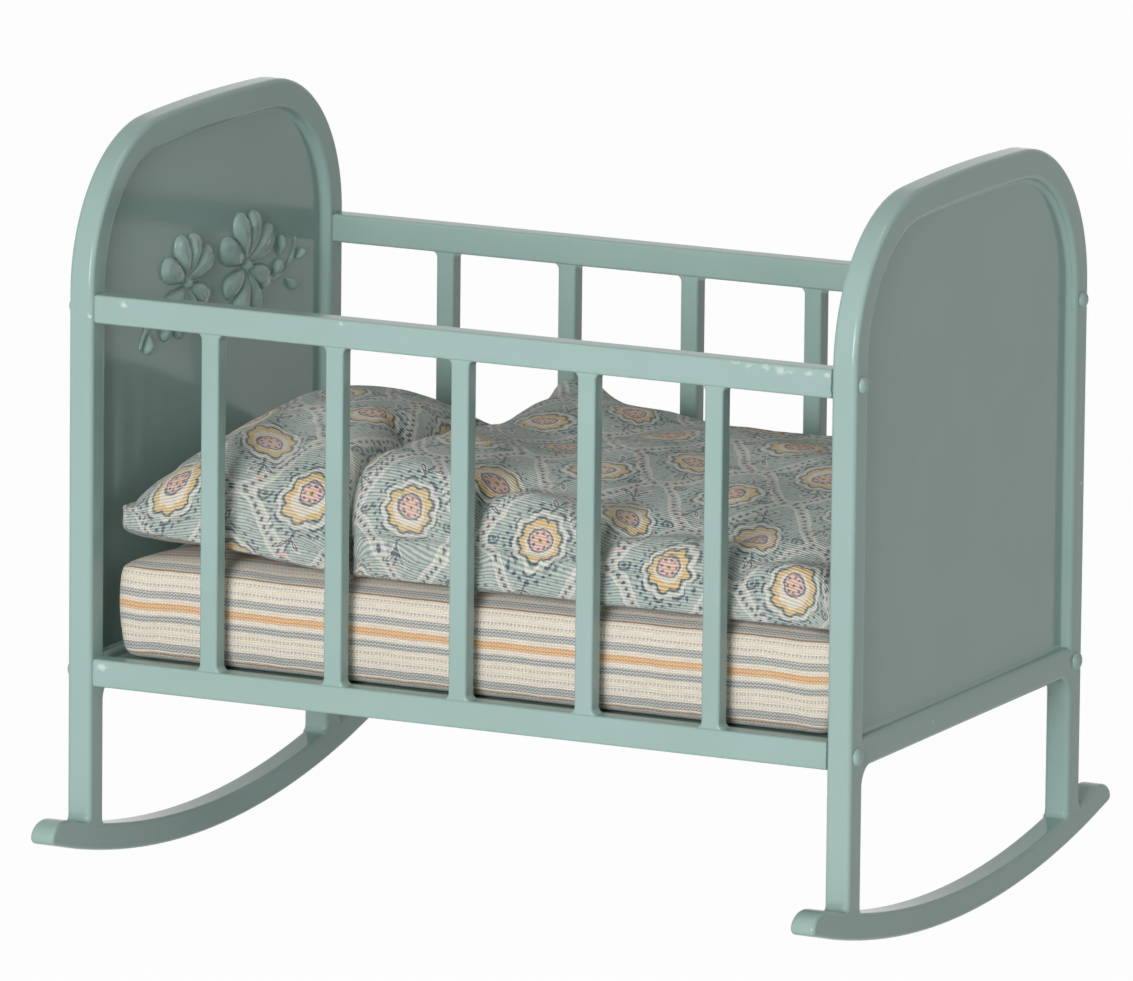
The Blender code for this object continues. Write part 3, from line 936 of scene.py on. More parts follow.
class CRADLE_OT_welds(CradleStep, bpy.types.Operator):
    """Runs a soft bead of weld and paint round the foot of each leg"""

    bl_idname = "cradle.welds"
    bl_label = "Weld Beads"

    def execute(self, context):
        width = context.scene.cradle_metal.weld_width
        for end, side in ENDS.items():
            bm = bmesh.new()
            for leg in SIDES.values():
                self.add_bead(bm, side * END_MIDDLE, leg * (HALF_WIDTH - BAR_WIDTH / 2), width)
            metal_piece(end + "_welds", bm)
        return {"FINISHED"}

    def add_bead(self, bm, at, across, width):
        """A flaring collar, following the slope of the rocker's upper side."""
        collar = bmesh.new()
        foot = rocker_top(across)
        height = width * BEAD_SLOPE
        size = Matrix.Diagonal((END_DEPTH + OVERLAP, BAR_WIDTH + OVERLAP, 1.0, 1.0))
        place = Matrix.Translation((0.0, 0.0, height)) @ size
        corners = bmesh.ops.create_grid(collar, x_segments=1, y_segments=1, size=0.5, matrix=place)["verts"]
        bevel(collar, corners, BAR_EDGE, SECTION_STEPS, "VERTICES")
        ring = collar.edges[:]
        for run, drop in quarter_round(width, BEAD_STEPS):
            verts, ring = extrude_ring(collar, ring)
            for vert in verts:
                vert.co.y *= 1 + run / (BAR_WIDTH / 2)
                vert.co.z -= drop * BEAD_SLOPE
        verts, ring = extrude_ring(collar, ring)
        bmesh.ops.translate(collar, verts=list(verts), vec=(0.0, 0.0, -SINK))
        bmesh.ops.contextual_create(collar, geom=ring)
        for vert in collar.verts:
            here = Vector((vert.co.x + at, vert.co.y + across, 0.0))
            wobble = noise.noise(here * 700.0) * BEAD_UNEVENNESS
            slope = rocker_top(across + vert.co.y) - foot
            vert.co.z += foot + slope + wobble
            vert.co.x += at
            vert.co.y += across
        mesh = bpy.data.meshes.new("bead")
        collar.to_mesh(mesh)
        collar.free()
        bm.from_mesh(mesh)
        bpy.data.meshes.remove(mesh)


class CRADLE_OT_rails(CradleStep, bpy.types.Operator):
    """Makes the top and bottom rail of each gate"""

    bl_idname = "cradle.rails"
    bl_label = "Side Rails"

    def execute(self, context):
        edge = context.scene.cradle_metal.rail_edge
        reach = HALF_GATE + 0.12 * MM
        for gate in SIDES:
            for level in ("top", "bottom"):
                node = f"{gate}_{level}_rail"
                low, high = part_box(node)
                bm = bmesh.new()
                box(bm, (-reach, low.y, low.z), (reach, high.y, high.z))
                bevel(bm, bm.edges[:], edge, 4)
                metal_piece(f"{gate}_{level}_bar", bm, node)
        return {"FINISHED"}


class CRADLE_OT_slats(CradleStep, bpy.types.Operator):
    """Makes the square slats of each gate, widening into their rails"""

    bl_idname = "cradle.slats"
    bl_label = "Slats"

    def execute(self, context):
        sizes = context.scene.cradle_metal
        flare = sizes.slat_flare
        low = LOW_RAIL_HIGH.z - OVERLAP
        high = RAIL_LOW.z + OVERLAP
        for gate in SIDES:
            for number in SLATS:
                node = f"{gate}_slat_{number}"
                near_corner, far_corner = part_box(node)
                middle = (near_corner.x + far_corner.x) / 2
                side = far_corner.x
                wide = side + flare + 2 * sizes.rail_edge
                foot = [(wide, low - SLAT_SINK), (wide, low), (side, low)]
                head = [(side, high), (wide, high), (wide, high + SLAT_SINK)]
                bm = bmesh.new()
                faces = outline_face(bm, foot + head, middle, (2, 3, 8, 9), flare, 6, 1, near_corner.y)
                thicken(bm, faces, (0.0, far_corner.y - near_corner.y, 0.0))
                bevel(bm, sharp_edges(bm), sizes.rail_edge, 4)
                metal_piece(f"{gate}_stave_{number}", bm, node)
        return {"FINISHED"}


class CRADLE_OT_rivets(CradleStep, bpy.types.Operator):
    """Makes the domed rivet heads on the outer faces of the posts"""

    bl_idname = "cradle.rivets"
    bl_label = "Rivets"

    def execute(self, context):
        radius = context.scene.cradle_metal.rivet_radius
        for end, side in ENDS.items():
            for gate in SIDES:
                for level in ("top", "bottom"):
                    node = f"{end}_{gate}_{level}_rivet"
                    low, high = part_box(node)
                    middle = (low + high) / 2
                    face = side * (HALF_GATE + END_DEPTH)
                    crown = max(abs(low.x), abs(high.x)) - abs(face)
                    grow = LOW_STUD_GROWTH if level == "bottom" else 1.0
                    bm = bmesh.new()
                    size = Matrix.Diagonal((crown, radius * grow, radius * grow, 1.0))
                    place = Matrix.Translation((face, middle.y, middle.z)) @ size
                    bmesh.ops.create_uvsphere(bm, u_segments=32, v_segments=20, radius=1.0, matrix=place)
                    for vert in bm.verts:
                        wobble = noise.noise(vert.co * 900.0) * STUD_UNEVENNESS
                        vert.co.y += wobble
                        vert.co.z += wobble
                    metal_piece(f"{end}_{gate}_{level}_stud", bm, node)
        return {"FINISHED"}


class CRADLE_OT_base_plate(CradleStep, bpy.types.Operator):
    """Folds the sheet that carries the mattress between the bottom rails"""

    bl_idname = "cradle.base_plate"
    bl_label = "Base Plate"

    def execute(self, context):
        edge = BASE_HIGH.y
        inner = edge - BASE_THICKNESS
        under = BASE_HIGH.z - BASE_THICKNESS
        half = [(inner, under), (inner, BASE_LOW.z), (edge, BASE_LOW.z), (edge, BASE_HIGH.z)]
        bm = bmesh.new()
        faces = outline_face(bm, half, 0.0, (0, 7), BASE_BEND, 4, 0, BASE_LOW.x)
        thicken(bm, faces, (BASE_HIGH.x - BASE_LOW.x, 0.0, 0.0))
        bevel(bm, sharp_edges(bm), BASE_EDGE, 3)
        metal_piece("base_sheet", bm, "base_plate")
        return {"FINISHED"}


# The raised flowers on the headboard: place across and up, turn in degrees, size and number of petals
FLOWERS = [
    (11.2, 82.7, 22.5, 1.00, 8),
    (-7.8, 83.0, 22.5, 0.92, 8),
]
LEAVES = [
    (18.6, 79.4, -60.0, 0.48),
    (21.4, 81.6, -15.0, 0.44),
    (23.6, 79.0, -125.0, 0.40),
    (26.6, 80.8, -65.0, 0.34),
    (-13.2, 79.2, 150.0, 0.46),
    (-17.0, 79.6, 105.0, 0.44),
    (-19.6, 78.2, 170.0, 0.42),
    (2.4, 78.0, 185.0, 0.40),
]

# Stems: centre of the first bend across and up, its radius, its start and its sweep in degrees, and
# how much tighter each next bend is
STEMS = [
    (20.4, 87.4, 8.0, -110.0, 50.0, 0.70),
    (-16.4, 70.4, 8.6, 60.0, 50.0, 0.62),
]

# Each bend's share of the stem's sweep and its steps, and how much thinner the stem is after it
STEM_BENDS = ((1.0, 16), (0.6, 10), (0.6, 10))
STEM_TAPER = 0.86
STEM_RADIUS = 0.50 * MM
BOSS_RADIUS = 0.9 * MM
SPRAY_CELL = 0.20 * MM

# A petal: its width at the foot and how much wider it is at the tip, half its greatest width as a
# share of its length, its distance from the flower's middle, and the groove along it
PETAL_FOOT = 0.22
PETAL_SPREAD = 0.98
PETAL_SLIMNESS = 0.305
PETAL_START = 0.6 * MM
PETAL_UNEVENNESS = 0.16
GROOVE_DEPTH = 0.08
GROOVE_WIDTH = 0.20


class CRADLE_OT_flowers(CradleStep, bpy.types.Operator):
    """Raises a spray of two flowers with leaves and thin stems on the headboard's inner face"""

    bl_idname = "cradle.flowers"
    bl_label = "Flower Spray"

    def execute(self, context):
        sizes = context.scene.cradle_metal
        bm = bmesh.new()
        for across, up, turn, size, count in FLOWERS:
            for number in range(count):
                angle = turn + 360.0 * number / count
                angle -= 5.0 * math.sin(math.radians(2 * angle))
                grow = size * (1.0 + 0.10 * math.sin(2.3 * number))
                self.petal(bm, across, up, angle, sizes.petal_length * grow, sizes.petal_height)
            self.boss(bm, across, up, BOSS_RADIUS * size, sizes.petal_height * 0.7)
        for across, up, turn, size in LEAVES:
            self.petal(bm, across, up, turn, sizes.petal_length * size, sizes.petal_height * 0.8)
        for stem in STEMS:
            self.stem(bm, *stem)
        thickness = PANEL_HIGH.x - PANEL_LOW.x
        face = -END_MIDDLE + thickness / 2
        root = thickness * 0.35 * CLOTH_SCALE
        for vert in bm.verts:
            rise = max(vert.co.z, -root)
            vert.co = Vector((face * CLOTH_SCALE + rise, vert.co.x, vert.co.y))
        spray = new_piece("flower_spray", bm, "sage_enamel")
        melt = spray.modifiers.new("melt", "REMESH")
        melt.mode = "VOXEL"
        melt.voxel_size = SPRAY_CELL * CLOTH_SCALE
        soften = spray.modifiers.new("soften", "SMOOTH")
        soften.factor = 0.5
        soften.iterations = 3
        settle(spray)
        spray.data.transform(Matrix.Scale(1 / CLOTH_SCALE, 4))
        spray.data.shade_smooth()
        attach(spray, CRADLE)
        return {"FINISHED"}

    def petal(self, bm, across, up, turn, length, height):
        """A teardrop with a groove along its middle, pointing away from the flower's middle."""
        made = bmesh.ops.create_uvsphere(bm, u_segments=24, v_segments=14, radius=1.0)["verts"]
        spin = Matrix.Rotation(math.radians(turn), 4, "Z")
        for vert in made:
            share = (vert.co.y + 1) / 2
            width = PETAL_FOOT + PETAL_SPREAD * share
            groove = GROOVE_DEPTH * math.exp(-((vert.co.x / GROOVE_WIDTH) ** 2)) * math.sin(math.pi * share)
            run = share * length * 0.98 + PETAL_START
            point = Vector((vert.co.x * width * length * PETAL_SLIMNESS, run, 0.0))
            rise = vert.co.z * height * (0.45 + 0.55 * math.sin(math.pi / 2 * min(1.0, share * 1.6)))
            if vert.co.z > 0:
                rise -= groove * height * 1.2
                unevenness = noise.noise((vert.co + Vector((turn, across, up))) * 2.6)
                rise += unevenness * height * PETAL_UNEVENNESS
            point.z = rise
            point = spin @ point
            vert.co = (point + Vector((across * MM, up * MM, 0.0))) * CLOTH_SCALE

    def boss(self, bm, across, up, radius, height):
        place = Matrix.Translation(Vector((across * MM, up * MM, 0.0)) * CLOTH_SCALE)
        radius *= CLOTH_SCALE
        size = Matrix.Diagonal((radius, radius, height * 1.1 * CLOTH_SCALE, 1.0))
        bmesh.ops.create_uvsphere(bm, u_segments=20, v_segments=12, radius=1.0, matrix=place @ size)

    def stem(self, bm, across, up, radius, start, sweep, shrink):
        """A tapering stem of three bends."""
        centre = Vector((across, up, 0.0)) * MM * CLOTH_SCALE
        radius = radius * MM * CLOTH_SCALE
        thick = STEM_RADIUS * CLOTH_SCALE
        turn = math.radians(start)
        hub = centre + Vector((math.cos(turn), math.sin(turn), 0.0)) * radius
        ring = bmesh.ops.create_circle(bm, segments=12, radius=thick, cap_ends=True)["verts"]
        sweep_way = math.copysign(1.0, sweep)
        heading = Matrix.Rotation(turn, 4, "Z") @ Matrix.Rotation(math.pi / 2 * sweep_way, 4, "X")
        bmesh.ops.transform(bm, matrix=Matrix.Translation(hub) @ heading, verts=ring)
        edges = {edge for vert in ring for edge in vert.link_edges}
        last = ring + list(edges)
        for share, steps in STEM_BENDS:
            last = spin(bm, last, centre, (0.0, 0.0, 1.0), math.radians(sweep) * share, steps)
            verts = verts_of(last)
            middle = sum((vert.co for vert in verts), Vector()) / len(verts)
            centre = middle + (centre - middle) * shrink
            for vert in verts:
                vert.co = middle + (vert.co - middle) * STEM_TAPER
        bmesh.ops.contextual_create(bm, geom=edges_of(last))


def settle(obj):
    """Puts what the piece's modifiers make into its own mesh and removes them."""
    graph = bpy.context.evaluated_depsgraph_get()
    made = bpy.data.meshes.new_from_object(obj.evaluated_get(graph))
    old = obj.data
    obj.modifiers.clear()
    obj.data = made
    bpy.data.meshes.remove(old)


# Shapes of the stuffed pieces, as in the frame's solids: the height of the edge, how far the corners
# are cut back, the rise of the middle over the edge, the lift of each end's rim, and how far the
# sides are drawn in. Fullness is a power and a roundness towards each end and side. A fold has its
# start and end along and across, its width, and its height as a share of the rise. A valley's
# height is negative.
PILLOW_FORM = {
    "low": PILLOW_LOW,
    "high": PILLOW_HIGH,
    "edge": 3.4 * MM,
    "corner": 0.7 * MM,
    "rise": 15.2 * MM,
    "head_lift": 3.6 * MM,
    "foot_lift": 0.4 * MM,
    "draw": 1.4 * MM,
    "ends": ((2.2, 0.78), (7.0, 0.32)),
    "sides": ((3.6, 0.50), (2.4, 0.85)),
    "folds": [
        (-0.10, -0.10, 0.20, 0.05, 0.60, 0.04),
        (-0.90, -0.95, -0.35, -0.40, 0.18, -0.12),
        (0.30, -1.00, 0.10, -0.50, 0.16, -0.14),
        (0.80, 0.60, 0.95, 0.95, 0.35, -0.20),
        (-0.55, -1.00, -0.30, -0.55, 0.07, -0.07),
        (-0.15, -1.02, -0.05, -0.62, 0.06, -0.06),
        (-0.80, -0.60, -0.30, -0.62, 0.08, 0.04),
    ],
}
QUILT_FORM = {
    "low": QUILT_LOW,
    "high": QUILT_HIGH,
    "edge": 3.0 * MM,
    "corner": 0.6 * MM,
    "rise": 14.5 * MM,
    "head_lift": 0.6 * MM,
    "foot_lift": 0.2 * MM,
    "draw": 0.4 * MM,
    "ends": ((22.0, 0.14), (8.0, 0.36)),
    "sides": ((16.0, 0.20), (6.0, 0.36)),
    "folds": [
        (0.55, -1.10, 1.10, -1.10, 0.95, -0.58),
        (0.00, 0.95, 1.10, 0.90, 0.45, -0.16),
        (-1.00, 0.90, -0.84, 0.92, 0.14, 0.30),
        (-0.90, -0.75, -0.80, -0.40, 0.26, 0.05),
        (-0.62, 0.10, -1.00, 0.25, 0.26, -0.10),
        (-0.495, -1.08, -0.490, -0.92, 0.030, -0.30),
        (-0.485, -0.92, -0.42, -0.80, 0.055, -0.09),
        (-0.42, -0.78, 0.00, -0.64, 0.10, -0.07),
        (0.024, -1.08, 0.028, -0.94, 0.030, -0.24),
        (0.034, -0.94, 0.14, -0.84, 0.055, -0.08),
        (0.14, -0.82, 0.50, -0.72, 0.10, -0.08),
        (0.578, -1.08, 0.582, -0.95, 0.030, -0.22),
        (0.588, -0.95, 0.70, -0.87, 0.055, -0.08),
        (0.70, -0.86, 1.00, -0.76, 0.09, -0.08),
        (-0.20, 0.20, 0.40, -0.10, 0.16, -0.05),
        (0.30, 0.45, 0.75, 0.20, 0.14, -0.05),
        (-0.66, -0.10, -0.30, 0.50, 0.14, -0.08),
        (-0.70, -0.30, -0.40, -0.16, 0.08, -0.05),
    ],
}
FORM_SAMPLES = 240

# How far a stuffed piece may stand out of its form at the sides and at the top
BEDDING_ROOM = Vector((0.3, 0.4, 0.0)) * MM
BEDDING_RISE = Vector((0.0, 0.0, 2.0)) * MM

# The seam round a stuffed piece: its height and its lower roll's as shares of the side's, how far
# it is drawn in, how far the lower cloth's edge is, and the line across which the cloth lies even
SEAM_HEIGHT = 0.80
ROLL_HEIGHT = 0.24
SEAM_DEPTH = 0.42 * MM
UNDER_INSET = 0.40 * MM
SPINE_PLACE = -0.3


def fullness(place, ends):
    power, roundness = ends[0] if place < 0 else ends[1]
    return max(0.0, 1 - abs(place) ** power) ** roundness


def fold_height(along, across, folds):
    """How much higher all the folds make a place, as a share of the rise. Narrow valleys are V-shaped."""
    total = 0.0
    for from_along, from_across, to_along, to_across, width, height in folds:
        run_along = to_along - from_along
        run_across = to_across - from_across
        off_along = along - from_along
        off_across = across - from_across
        share = (off_along * run_along + off_across * run_across) / (run_along**2 + run_across**2)
        share = max(0.0, min(1.0, share))
        far = math.hypot(off_along - share * run_along, off_across - share * run_across)
        power = 2.0 if height > 0 or width > 0.06 else 1.5
        total += height * math.exp(-((far / width) ** power))
    return total


def form_point(form, along, across, upper):
    """A point of a stuffed form's upper or lower cloth, from its place along and across, from -1 to 1."""
    low = form["low"]
    high = form["high"]
    half_length = (high.x - low.x) / 2
    half_across = (high.y - low.y) / 2
    rim = max(abs(along), abs(across)) ** 5
    raised = form["head_lift"] + (form["foot_lift"] - form["head_lift"]) * (1 + along) / 2
    x = half_length * along - form["draw"] * along * (1 - across**2)
    y = half_across * across - form["draw"] * across * (1 - along**2)
    corner = abs(along * across) ** 6 * form["corner"]
    x -= math.copysign(corner, along)
    y -= math.copysign(corner, across)
    z = low.z + raised * rim
    if upper:
        puff = fullness(along, form["ends"]) * fullness(across, form["sides"])
        z += form["edge"] + form["rise"] * puff * (1 + fold_height(along, across, form["folds"]))
    return Vector(((low.x + high.x) / 2 + x, y, z))


def even_places(point_at, count):
    """Places from -1 to 1 that lie equally far apart on a line, each with its distance from the middle."""
    places = [math.sin(math.pi / 2 * (2 * step / FORM_SAMPLES - 1)) for step in range(FORM_SAMPLES + 1)]
    points = [point_at(place) for place in places]
    lengths = [0.0]
    for first, second in zip(points, points[1:]):
        lengths.append(lengths[-1] + (second - first).length)
    found = []
    index = 0
    for step in range(count + 1):
        wanted = lengths[-1] * step / count
        while index < FORM_SAMPLES - 1 and lengths[index + 1] < wanted:
            index += 1
        span = lengths[index + 1] - lengths[index]
        share = (wanted - lengths[index]) / span if span else 0.0
        place = places[index] + (places[index + 1] - places[index]) * share
        found.append((place, wanted - lengths[-1] / 2))
    return found


def add_cloth_map(bm, places):
    """Writes each vertex's place on the flat cloth to the UV map that the cloth's finish reads."""
    layer = bm.loops.layers.uv.new("cloth")
    for face in bm.faces:
        for loop in face.loops:
            loop[layer].uv = places[loop.vert]


def stuffed_bmesh(form, cell):
    """Two sheets of cloth on the form, joined by a narrow side whose seam is drawn in."""

    def upper_line(count, along=None, across=None):
        """Evenly spaced places on the upper cloth: along it, or across it where along is given."""
        if along is None:
            return even_places(lambda place: form_point(form, place, across, True), count)
        return even_places(lambda place: form_point(form, along, place, True), count)

    def cells_on(**line):
        """How many cells fit on a line, whose end lies half its length from the middle."""
        return round(2 * upper_line(1, **line)[-1][1] / cell)

    columns = cells_on(across=0.0)
    rows = cells_on(along=0.0)
    spine = upper_line(columns, across=SPINE_PLACE)
    across_places = [upper_line(rows, along=along) for along, _ in spine]
    edge = form["edge"]
    everywhere = [(column, row) for row in range(rows + 1) for column in range(columns + 1)]
    rim = [(column, 0) for column in range(columns)]
    rim += [(columns, row) for row in range(rows)]
    rim += [(column, rows) for column in range(columns, 0, -1)]
    rim += [(0, row) for row in range(rows, 0, -1)]

    # From the lower sheet to the upper one: the points, how far they are raised, how much cloth lies
    # between them and the upper sheet's edge, and how far they are drawn in
    levels = [
        (everywhere, 0.0, edge + SEAM_DEPTH + UNDER_INSET, UNDER_INSET),
        (rim, edge * ROLL_HEIGHT, edge * (1 - ROLL_HEIGHT) + SEAM_DEPTH, 0.0),
        (rim, edge * SEAM_HEIGHT, edge * (1 - SEAM_HEIGHT) + SEAM_DEPTH, SEAM_DEPTH),
        (everywhere, 0.0, 0.0, 0.0),
    ]
    bm = bmesh.new()
    places = {}
    sheets = []
    for points, rise, drop, inset in levels:
        sheet = {}
        for column, row in points:
            along, run_along = spine[column]
            across, run_across = across_places[column][row]
            outward = Vector(((column == columns) - (column == 0), (row == rows) - (row == 0), 0))
            place = form_point(form, along, across, drop == 0.0) - outward * inset
            place.z += rise
            sheet[column, row] = bm.verts.new(place)
            places[sheet[column, row]] = (run_along + outward.x * drop, run_across + outward.y * drop)
        sheets.append(sheet)
    for sheet in (sheets[0], sheets[-1]):
        for column in range(columns):
            for row in range(rows):
                corners = [(column, row), (column + 1, row), (column + 1, row + 1), (column, row + 1)]
                bm.faces.new([sheet[corner] for corner in corners])
    for below, above in zip(sheets, sheets[1:]):
        for here, there in zip(rim, rim[1:] + rim[:1]):
            bm.faces.new((below[here], below[there], above[there], above[here]))
    return bm, places, set(sheets[-1].values())


def fold_cloth(obj, pinned, sizes):
    """Lets the stuffing press the slack cloth into small folds, and caps how far each point moves."""
    start = [vert.co.copy() for vert in obj.data.vertices]
    group = obj.vertex_groups.new(name="held")
    group.add(pinned, 1.0, "REPLACE")
    cloth = obj.modifiers.new("cloth", "CLOTH")
    settings = cloth.settings
    for setting, value in CLOTH_SETTINGS.items():
        setattr(settings, setting, value)
    settings.use_pressure = True
    settings.uniform_pressure_force = sizes.pressure
    settings.vertex_group_mass = "held"
    settings.shrink_min = -sizes.slack
    settings.effector_weights.gravity = 0.0
    cloth.collision_settings.use_collision = False
    scene = bpy.context.scene
    for frame_number in range(1, CLOTH_FRAMES + 1):
        scene.frame_set(frame_number)
    graph = bpy.context.evaluated_depsgraph_get()
    moved = obj.evaluated_get(graph).to_mesh()
    ends = [vert.co.copy() for vert in moved.vertices]
    obj.evaluated_get(graph).to_mesh_clear()
    obj.modifiers.remove(cloth)
    obj.vertex_groups.clear()
    scene.frame_set(1)
    cap = sizes.travel * CLOTH_SCALE
    for vert, first, last in zip(obj.data.vertices, start, ends):
        step = last - first
        if step.length > cap:
            step = step.normalized() * cap
        vert.co = first + step


def soft_piece(obj, body, node):
    """Smooths a cushion, puts it on what it rides on and hides the node that it stands for."""
    soft = obj.modifiers.new("rounded", "SUBSURF")
    soft.levels = 1
    soft.render_levels = 1
    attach(obj, body)
    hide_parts(node)


def keep_inside(mesh, low, high):
    """Moves points that lie outside a box to its faces."""
    for vert in mesh.vertices:
        for axis in range(3):
            vert.co[axis] = max(low[axis], min(high[axis], vert.co[axis]))


def cloth_piece(name, bm, finish, held):
    for vert in bm.verts:
        vert.co *= CLOTH_SCALE
    obj = new_piece(name, bm, finish, 180.0)
    fold_cloth(obj, held, bpy.context.scene.cradle_bedding)
    obj.data.transform(Matrix.Scale(1 / CLOTH_SCALE, 4))
    return obj


def build_stuffed(name, body, form, finish, node):
    """A stuffed piece: cut, sewn, simulated, puckered along its seam, smoothed and put on its body."""
    sizes = bpy.context.scene.cradle_bedding
    bm, places, loose = stuffed_bmesh(form, sizes.cell)
    add_cloth_map(bm, places)
    bm.verts.index_update()
    held = [vert.index for vert in bm.verts if vert not in loose]
    obj = cloth_piece(name, bm, finish, held)
    pucker_seam(obj.data, form, sizes.pucker)
    keep_inside(obj.data, form["low"] - BEDDING_ROOM, form["high"] + BEDDING_ROOM + BEDDING_RISE)
    soft_piece(obj, body, node)


def push_out(mesh, push_at):
    """Moves each point along its normal by the length that its place gives."""
    steps = [vert.normal * push_at(vert.co) for vert in mesh.vertices]
    for vert, step in zip(mesh.vertices, steps):
        vert.co += step


def pucker_seam(mesh, form, height):
    """Small gathers that fade away from the sewn edge, and a slight unevenness all over."""
    low = form["low"]
    high = form["high"]

    def push_at(point):
        from_seam = abs(point.z - low.z - form["edge"] * SEAM_HEIGHT)
        from_edge = min(point.x - low.x, high.x - point.x, point.y - low.y, high.y - point.y)
        reach = from_seam + max(0.0, from_edge)
        run = point.x - point.y * 0.7
        gather = math.sin(run / (0.42 * MM) + 2.5 * noise.noise(point * 180.0))
        swell = noise.noise(point * 140.0) * 0.22 * MM + noise.noise(point * 330.0) * 0.09 * MM
        return gather * height * math.exp(-reach / (2.2 * MM)) + swell

    push_out(mesh, push_at)


# The mattress: cells along, across and up, radius of its edges, how far its sides and its top stand
# out in the middle, and how far the cloth may stand out of the box
MATTRESS_CELLS = (64, 40, 10)
MATTRESS_EDGE = 1.3 * MM
MATTRESS_BULGE = Vector((0.5, 0.35, 0.0)) * MM
MATTRESS_CROWN = 1.3 * MM
MATTRESS_ROOM = Vector((0.2, 0.3, 0.0)) * MM
MATTRESS_RISE = Vector((0.0, 0.0, 0.25)) * MM


class CRADLE_OT_mattress(CradleStep, bpy.types.Operator):
    """Makes the striped mattress as a full, boxed cushion"""

    bl_idname = "cradle.mattress"
    bl_label = "Mattress"

    def execute(self, context):
        low = MATTRESS_LOW
        high = MATTRESS_HIGH
        bm = bmesh.new()
        box(bm, low, high)
        for axis, count in enumerate(MATTRESS_CELLS):
            edges = edges_along(bm.edges, axis, (high[axis] - low[axis]) / 2)
            bmesh.ops.subdivide_edges(bm, edges=edges, cuts=count - 1, use_grid_fill=True)
        bm.normal_update()
        layer = bm.loops.layers.uv.new("cloth")
        normals = {face: face.normal.copy() for face in bm.faces}
        self.shape(bm, low, high)
        for face, normal in normals.items():
            for loop in face.loops:
                loop[layer].uv = self.cloth_place(loop.vert.co, normal, low, high)
        bm.verts.index_update()
        below = [vert.index for vert in bm.verts if vert.co.z < low.z + 0.2 * MM]
        obj = cloth_piece("striped_mattress", bm, "woven_ticking", below)
        push_out(obj.data, lambda point: noise.noise(point * 90.0) * 0.18 * MM)
        keep_inside(obj.data, low - MATTRESS_ROOM, high + MATTRESS_ROOM + MATTRESS_RISE)
        soft_piece(obj, "mattress", "mattress")
        return {"FINISHED"}

    def cloth_place(self, point, normal, low, high):
        """A point's place on the flat cloth, whose stripes run along the top and round the sides."""
        if abs(normal.z) > 0.5:
            return point.x, high.z - 1.8 * MM + point.y - low.y
        if abs(normal.y) > 0.5:
            return point.x, point.z
        return point.y, point.z

    def shape(self, bm, low, high):
        """Rounds the box's edges, fills out its sides and crowns its top."""
        middle = (low + high) / 2
        half = (high - low) / 2
        core = half - Vector((MATTRESS_EDGE, MATTRESS_EDGE, MATTRESS_EDGE))
        for vert in bm.verts:
            offset = vert.co - middle
            inner = Vector([max(-core[axis], min(core[axis], offset[axis])) for axis in range(3)])
            out = offset - inner
            if out.length > MATTRESS_EDGE:
                out = out.normalized() * MATTRESS_EDGE
            vert.co = middle + inner + out
            waist = max(0.0, 1 - (offset.z / half.z) ** 2)
            along = offset.x / half.x
            across = offset.y / half.y
            vert.co.x -= math.copysign(MATTRESS_BULGE.x * (1 - waist) * abs(along) ** 8, along)
            vert.co.y -= math.copysign(MATTRESS_BULGE.y * (1 - waist) * abs(across) ** 8, across)
            if offset.z > 0:
                crown = (1 - along**6) * (1 - across**6)
                vert.co.z -= MATTRESS_CROWN * (1 - crown) * (offset.z / half.z)


class CRADLE_OT_pillow(CradleStep, bpy.types.Operator):
    """Makes the printed pillow"""

    bl_idname = "cradle.pillow"
    bl_label = "Pillow"

    def execute(self, context):
        build_stuffed("printed_pillow", "pillow", PILLOW_FORM, "pillow_print", "pillow")
        return {"FINISHED"}


class CRADLE_OT_quilt(CradleStep, bpy.types.Operator):
    """Makes the printed quilt"""

    bl_idname = "cradle.quilt"
    bl_label = "Quilt"

    def execute(self, context):
        build_stuffed("printed_quilt", "quilt", QUILT_FORM, "quilt_print", "quilt")
        return {"FINISHED"}


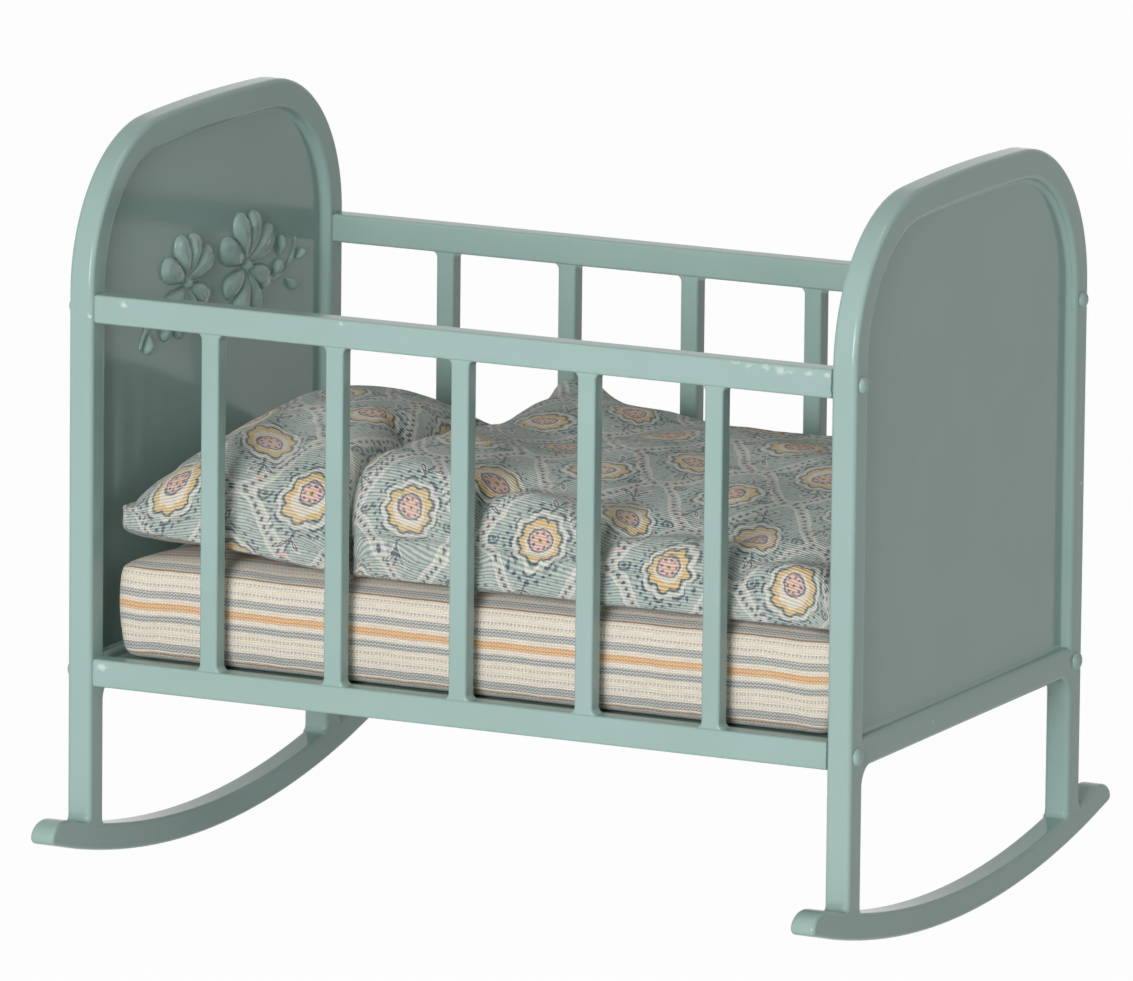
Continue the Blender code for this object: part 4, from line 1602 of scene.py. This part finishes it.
class CRADLE_OT_stage(CradleStep, bpy.types.Operator):
    """Sets the white floor and background, the soft lamps and the camera"""

    bl_idname = "cradle.stage"
    bl_label = "Stage"

    def execute(self, context):
        settings = context.scene.cradle_stage
        self.add_camera(context.scene)
        self.add_floor(settings)
        self.add_world(context.scene, settings)
        for name, shape in LAMPS.items():
            self.add_lamp(name + "_lamp", *shape, getattr(settings, name + "_power"))
        context.scene.view_settings.view_transform = "Standard"
        return {"FINISHED"}

    def add_camera(self, scene):
        azimuth = math.radians(CAMERA_AZIMUTH)
        elevation = math.radians(CAMERA_ELEVATION)
        roll = math.radians(CAMERA_ROLL)
        level_look = Vector((-math.sin(azimuth), math.cos(azimuth), 0.0))
        look = level_look * math.cos(elevation) - Vector((0.0, 0.0, math.sin(elevation)))
        level = look.cross(Vector((0.0, 0.0, 1.0))).normalized()
        upright = level.cross(look)
        right = level * math.cos(roll) + upright * math.sin(roll)
        up = upright * math.cos(roll) - level * math.sin(roll)
        data = bpy.data.cameras.new("camera")
        data.lens = CAMERA_LENS
        data.sensor_width = CAMERA_SENSOR
        data.clip_start = 0.05
        data.clip_end = 50.0
        camera = bpy.data.objects.new("camera", data)
        turn = Matrix((right, up, -look)).transposed().to_4x4()
        camera.matrix_world = Matrix.Translation(CAMERA_PLACE) @ turn
        scene.collection.objects.link(camera)
        scene.camera = camera

    def seen(self, finish):
        """1 for a ray that shows the background: from the camera, or by way of gloss or glass."""
        node = finish.node("ShaderNodeLightPath", {}, {})
        kinds = ("Is Camera Ray", "Is Glossy Ray", "Is Transmission Ray")
        camera, glossy, through = [Number(finish, node.outputs[kind]) for kind in kinds]
        return camera.high(glossy).high(through)

    def add_floor(self, settings):
        finish = Finish(bpy.data.materials.new("white_floor"))
        finish.set_shader({"Base Color": FLOOR_GREY, "Roughness": 0.9, "Specular IOR Level": 0.1})
        glow = finish.node("ShaderNodeEmission", {}, {"Color": WHITE, "Strength": 1.0})
        share = self.seen(finish) * settings.floor_white
        values = {0: share, 1: finish.shader.outputs[0], 2: glow.outputs[0]}
        both = finish.node("ShaderNodeMixShader", {}, values)
        finish.close("Material Output", both.outputs[0])
        bm = bmesh.new()
        bmesh.ops.create_grid(bm, x_segments=1, y_segments=1, size=FLOOR_REACH)
        mesh_object("floor", bm, finish.owner)

    def add_world(self, scene, settings):
        scene.world = bpy.data.worlds.new("studio")
        finish = Finish(scene.world)
        seen = self.seen(finish)
        strength = seen * (1.0 - settings.ambient) + settings.ambient
        colour = finish.mix(seen, settings.ambient_colour, WHITE)
        values = {"Color": colour, "Strength": strength}
        background = finish.node("ShaderNodeBackground", {}, values)
        finish.close("World Output", background.outputs[0])

    def add_lamp(self, name, place, width, height, power):
        data = bpy.data.lights.new(name, "AREA")
        data.shape = "ELLIPSE"
        data.size = width
        data.size_y = height
        data.energy = power
        lamp = bpy.data.objects.new(name, data)
        place = Vector(place)
        turn = (LAMP_AIM - place).to_track_quat("-Z", "Y").to_matrix().to_4x4()
        lamp.matrix_world = Matrix.Translation(place) @ turn
        bpy.context.scene.collection.objects.link(lamp)


class CRADLE_PT_sidebar(bpy.types.Panel):
    """Lists the steps that build the cradle"""

    bl_idname = "CRADLE_PT_sidebar"
    bl_label = "Doll Cradle"
    bl_space_type = "VIEW_3D"
    bl_region_type = "UI"
    bl_category = "Doll Cradle"

    def draw(self, context):
        for operator in BUILDERS:
            self.layout.operator(operator.bl_idname)
        scene = context.scene
        for group in (scene.cradle_metal, scene.cradle_bedding, scene.cradle_colours, scene.cradle_stage):
            column = self.layout.column()
            for name in group.__annotations__:
                column.prop(group, name)


GROUPS = {
    "cradle_metal": CradleMetalSizes,
    "cradle_bedding": CradleBeddingSizes,
    "cradle_colours": CradleColours,
    "cradle_stage": CradleStageSettings,
}

BUILDERS = [
    CRADLE_OT_stage,
    CRADLE_OT_arch_bars,
    CRADLE_OT_panels,
    CRADLE_OT_cross_rails,
    CRADLE_OT_rockers,
    CRADLE_OT_welds,
    CRADLE_OT_rails,
    CRADLE_OT_slats,
    CRADLE_OT_rivets,
    CRADLE_OT_base_plate,
    CRADLE_OT_flowers,
    CRADLE_OT_mattress,
    CRADLE_OT_pillow,
    CRADLE_OT_quilt,
]


def register():
    for group in GROUPS.values():
        bpy.utils.register_class(group)
    for operator in BUILDERS:
        bpy.utils.register_class(operator)
    bpy.utils.register_class(CRADLE_PT_sidebar)
    for name, group in GROUPS.items():
        setattr(bpy.types.Scene, name, bpy.props.PointerProperty(type=group))


def unregister():
    for name in GROUPS:
        delattr(bpy.types.Scene, name)
    bpy.utils.unregister_class(CRADLE_PT_sidebar)
    for operator in reversed(BUILDERS):
        bpy.utils.unregister_class(operator)
    for group in reversed(GROUPS.values()):
        bpy.utils.unregister_class(group)


def main():
    register()
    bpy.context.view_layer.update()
    for operator in BUILDERS:
        family, name = operator.bl_idname.split(".")
        getattr(getattr(bpy.ops, family), name)()
    bpy.context.view_layer.update()


if __name__ == "__main__":
    main()
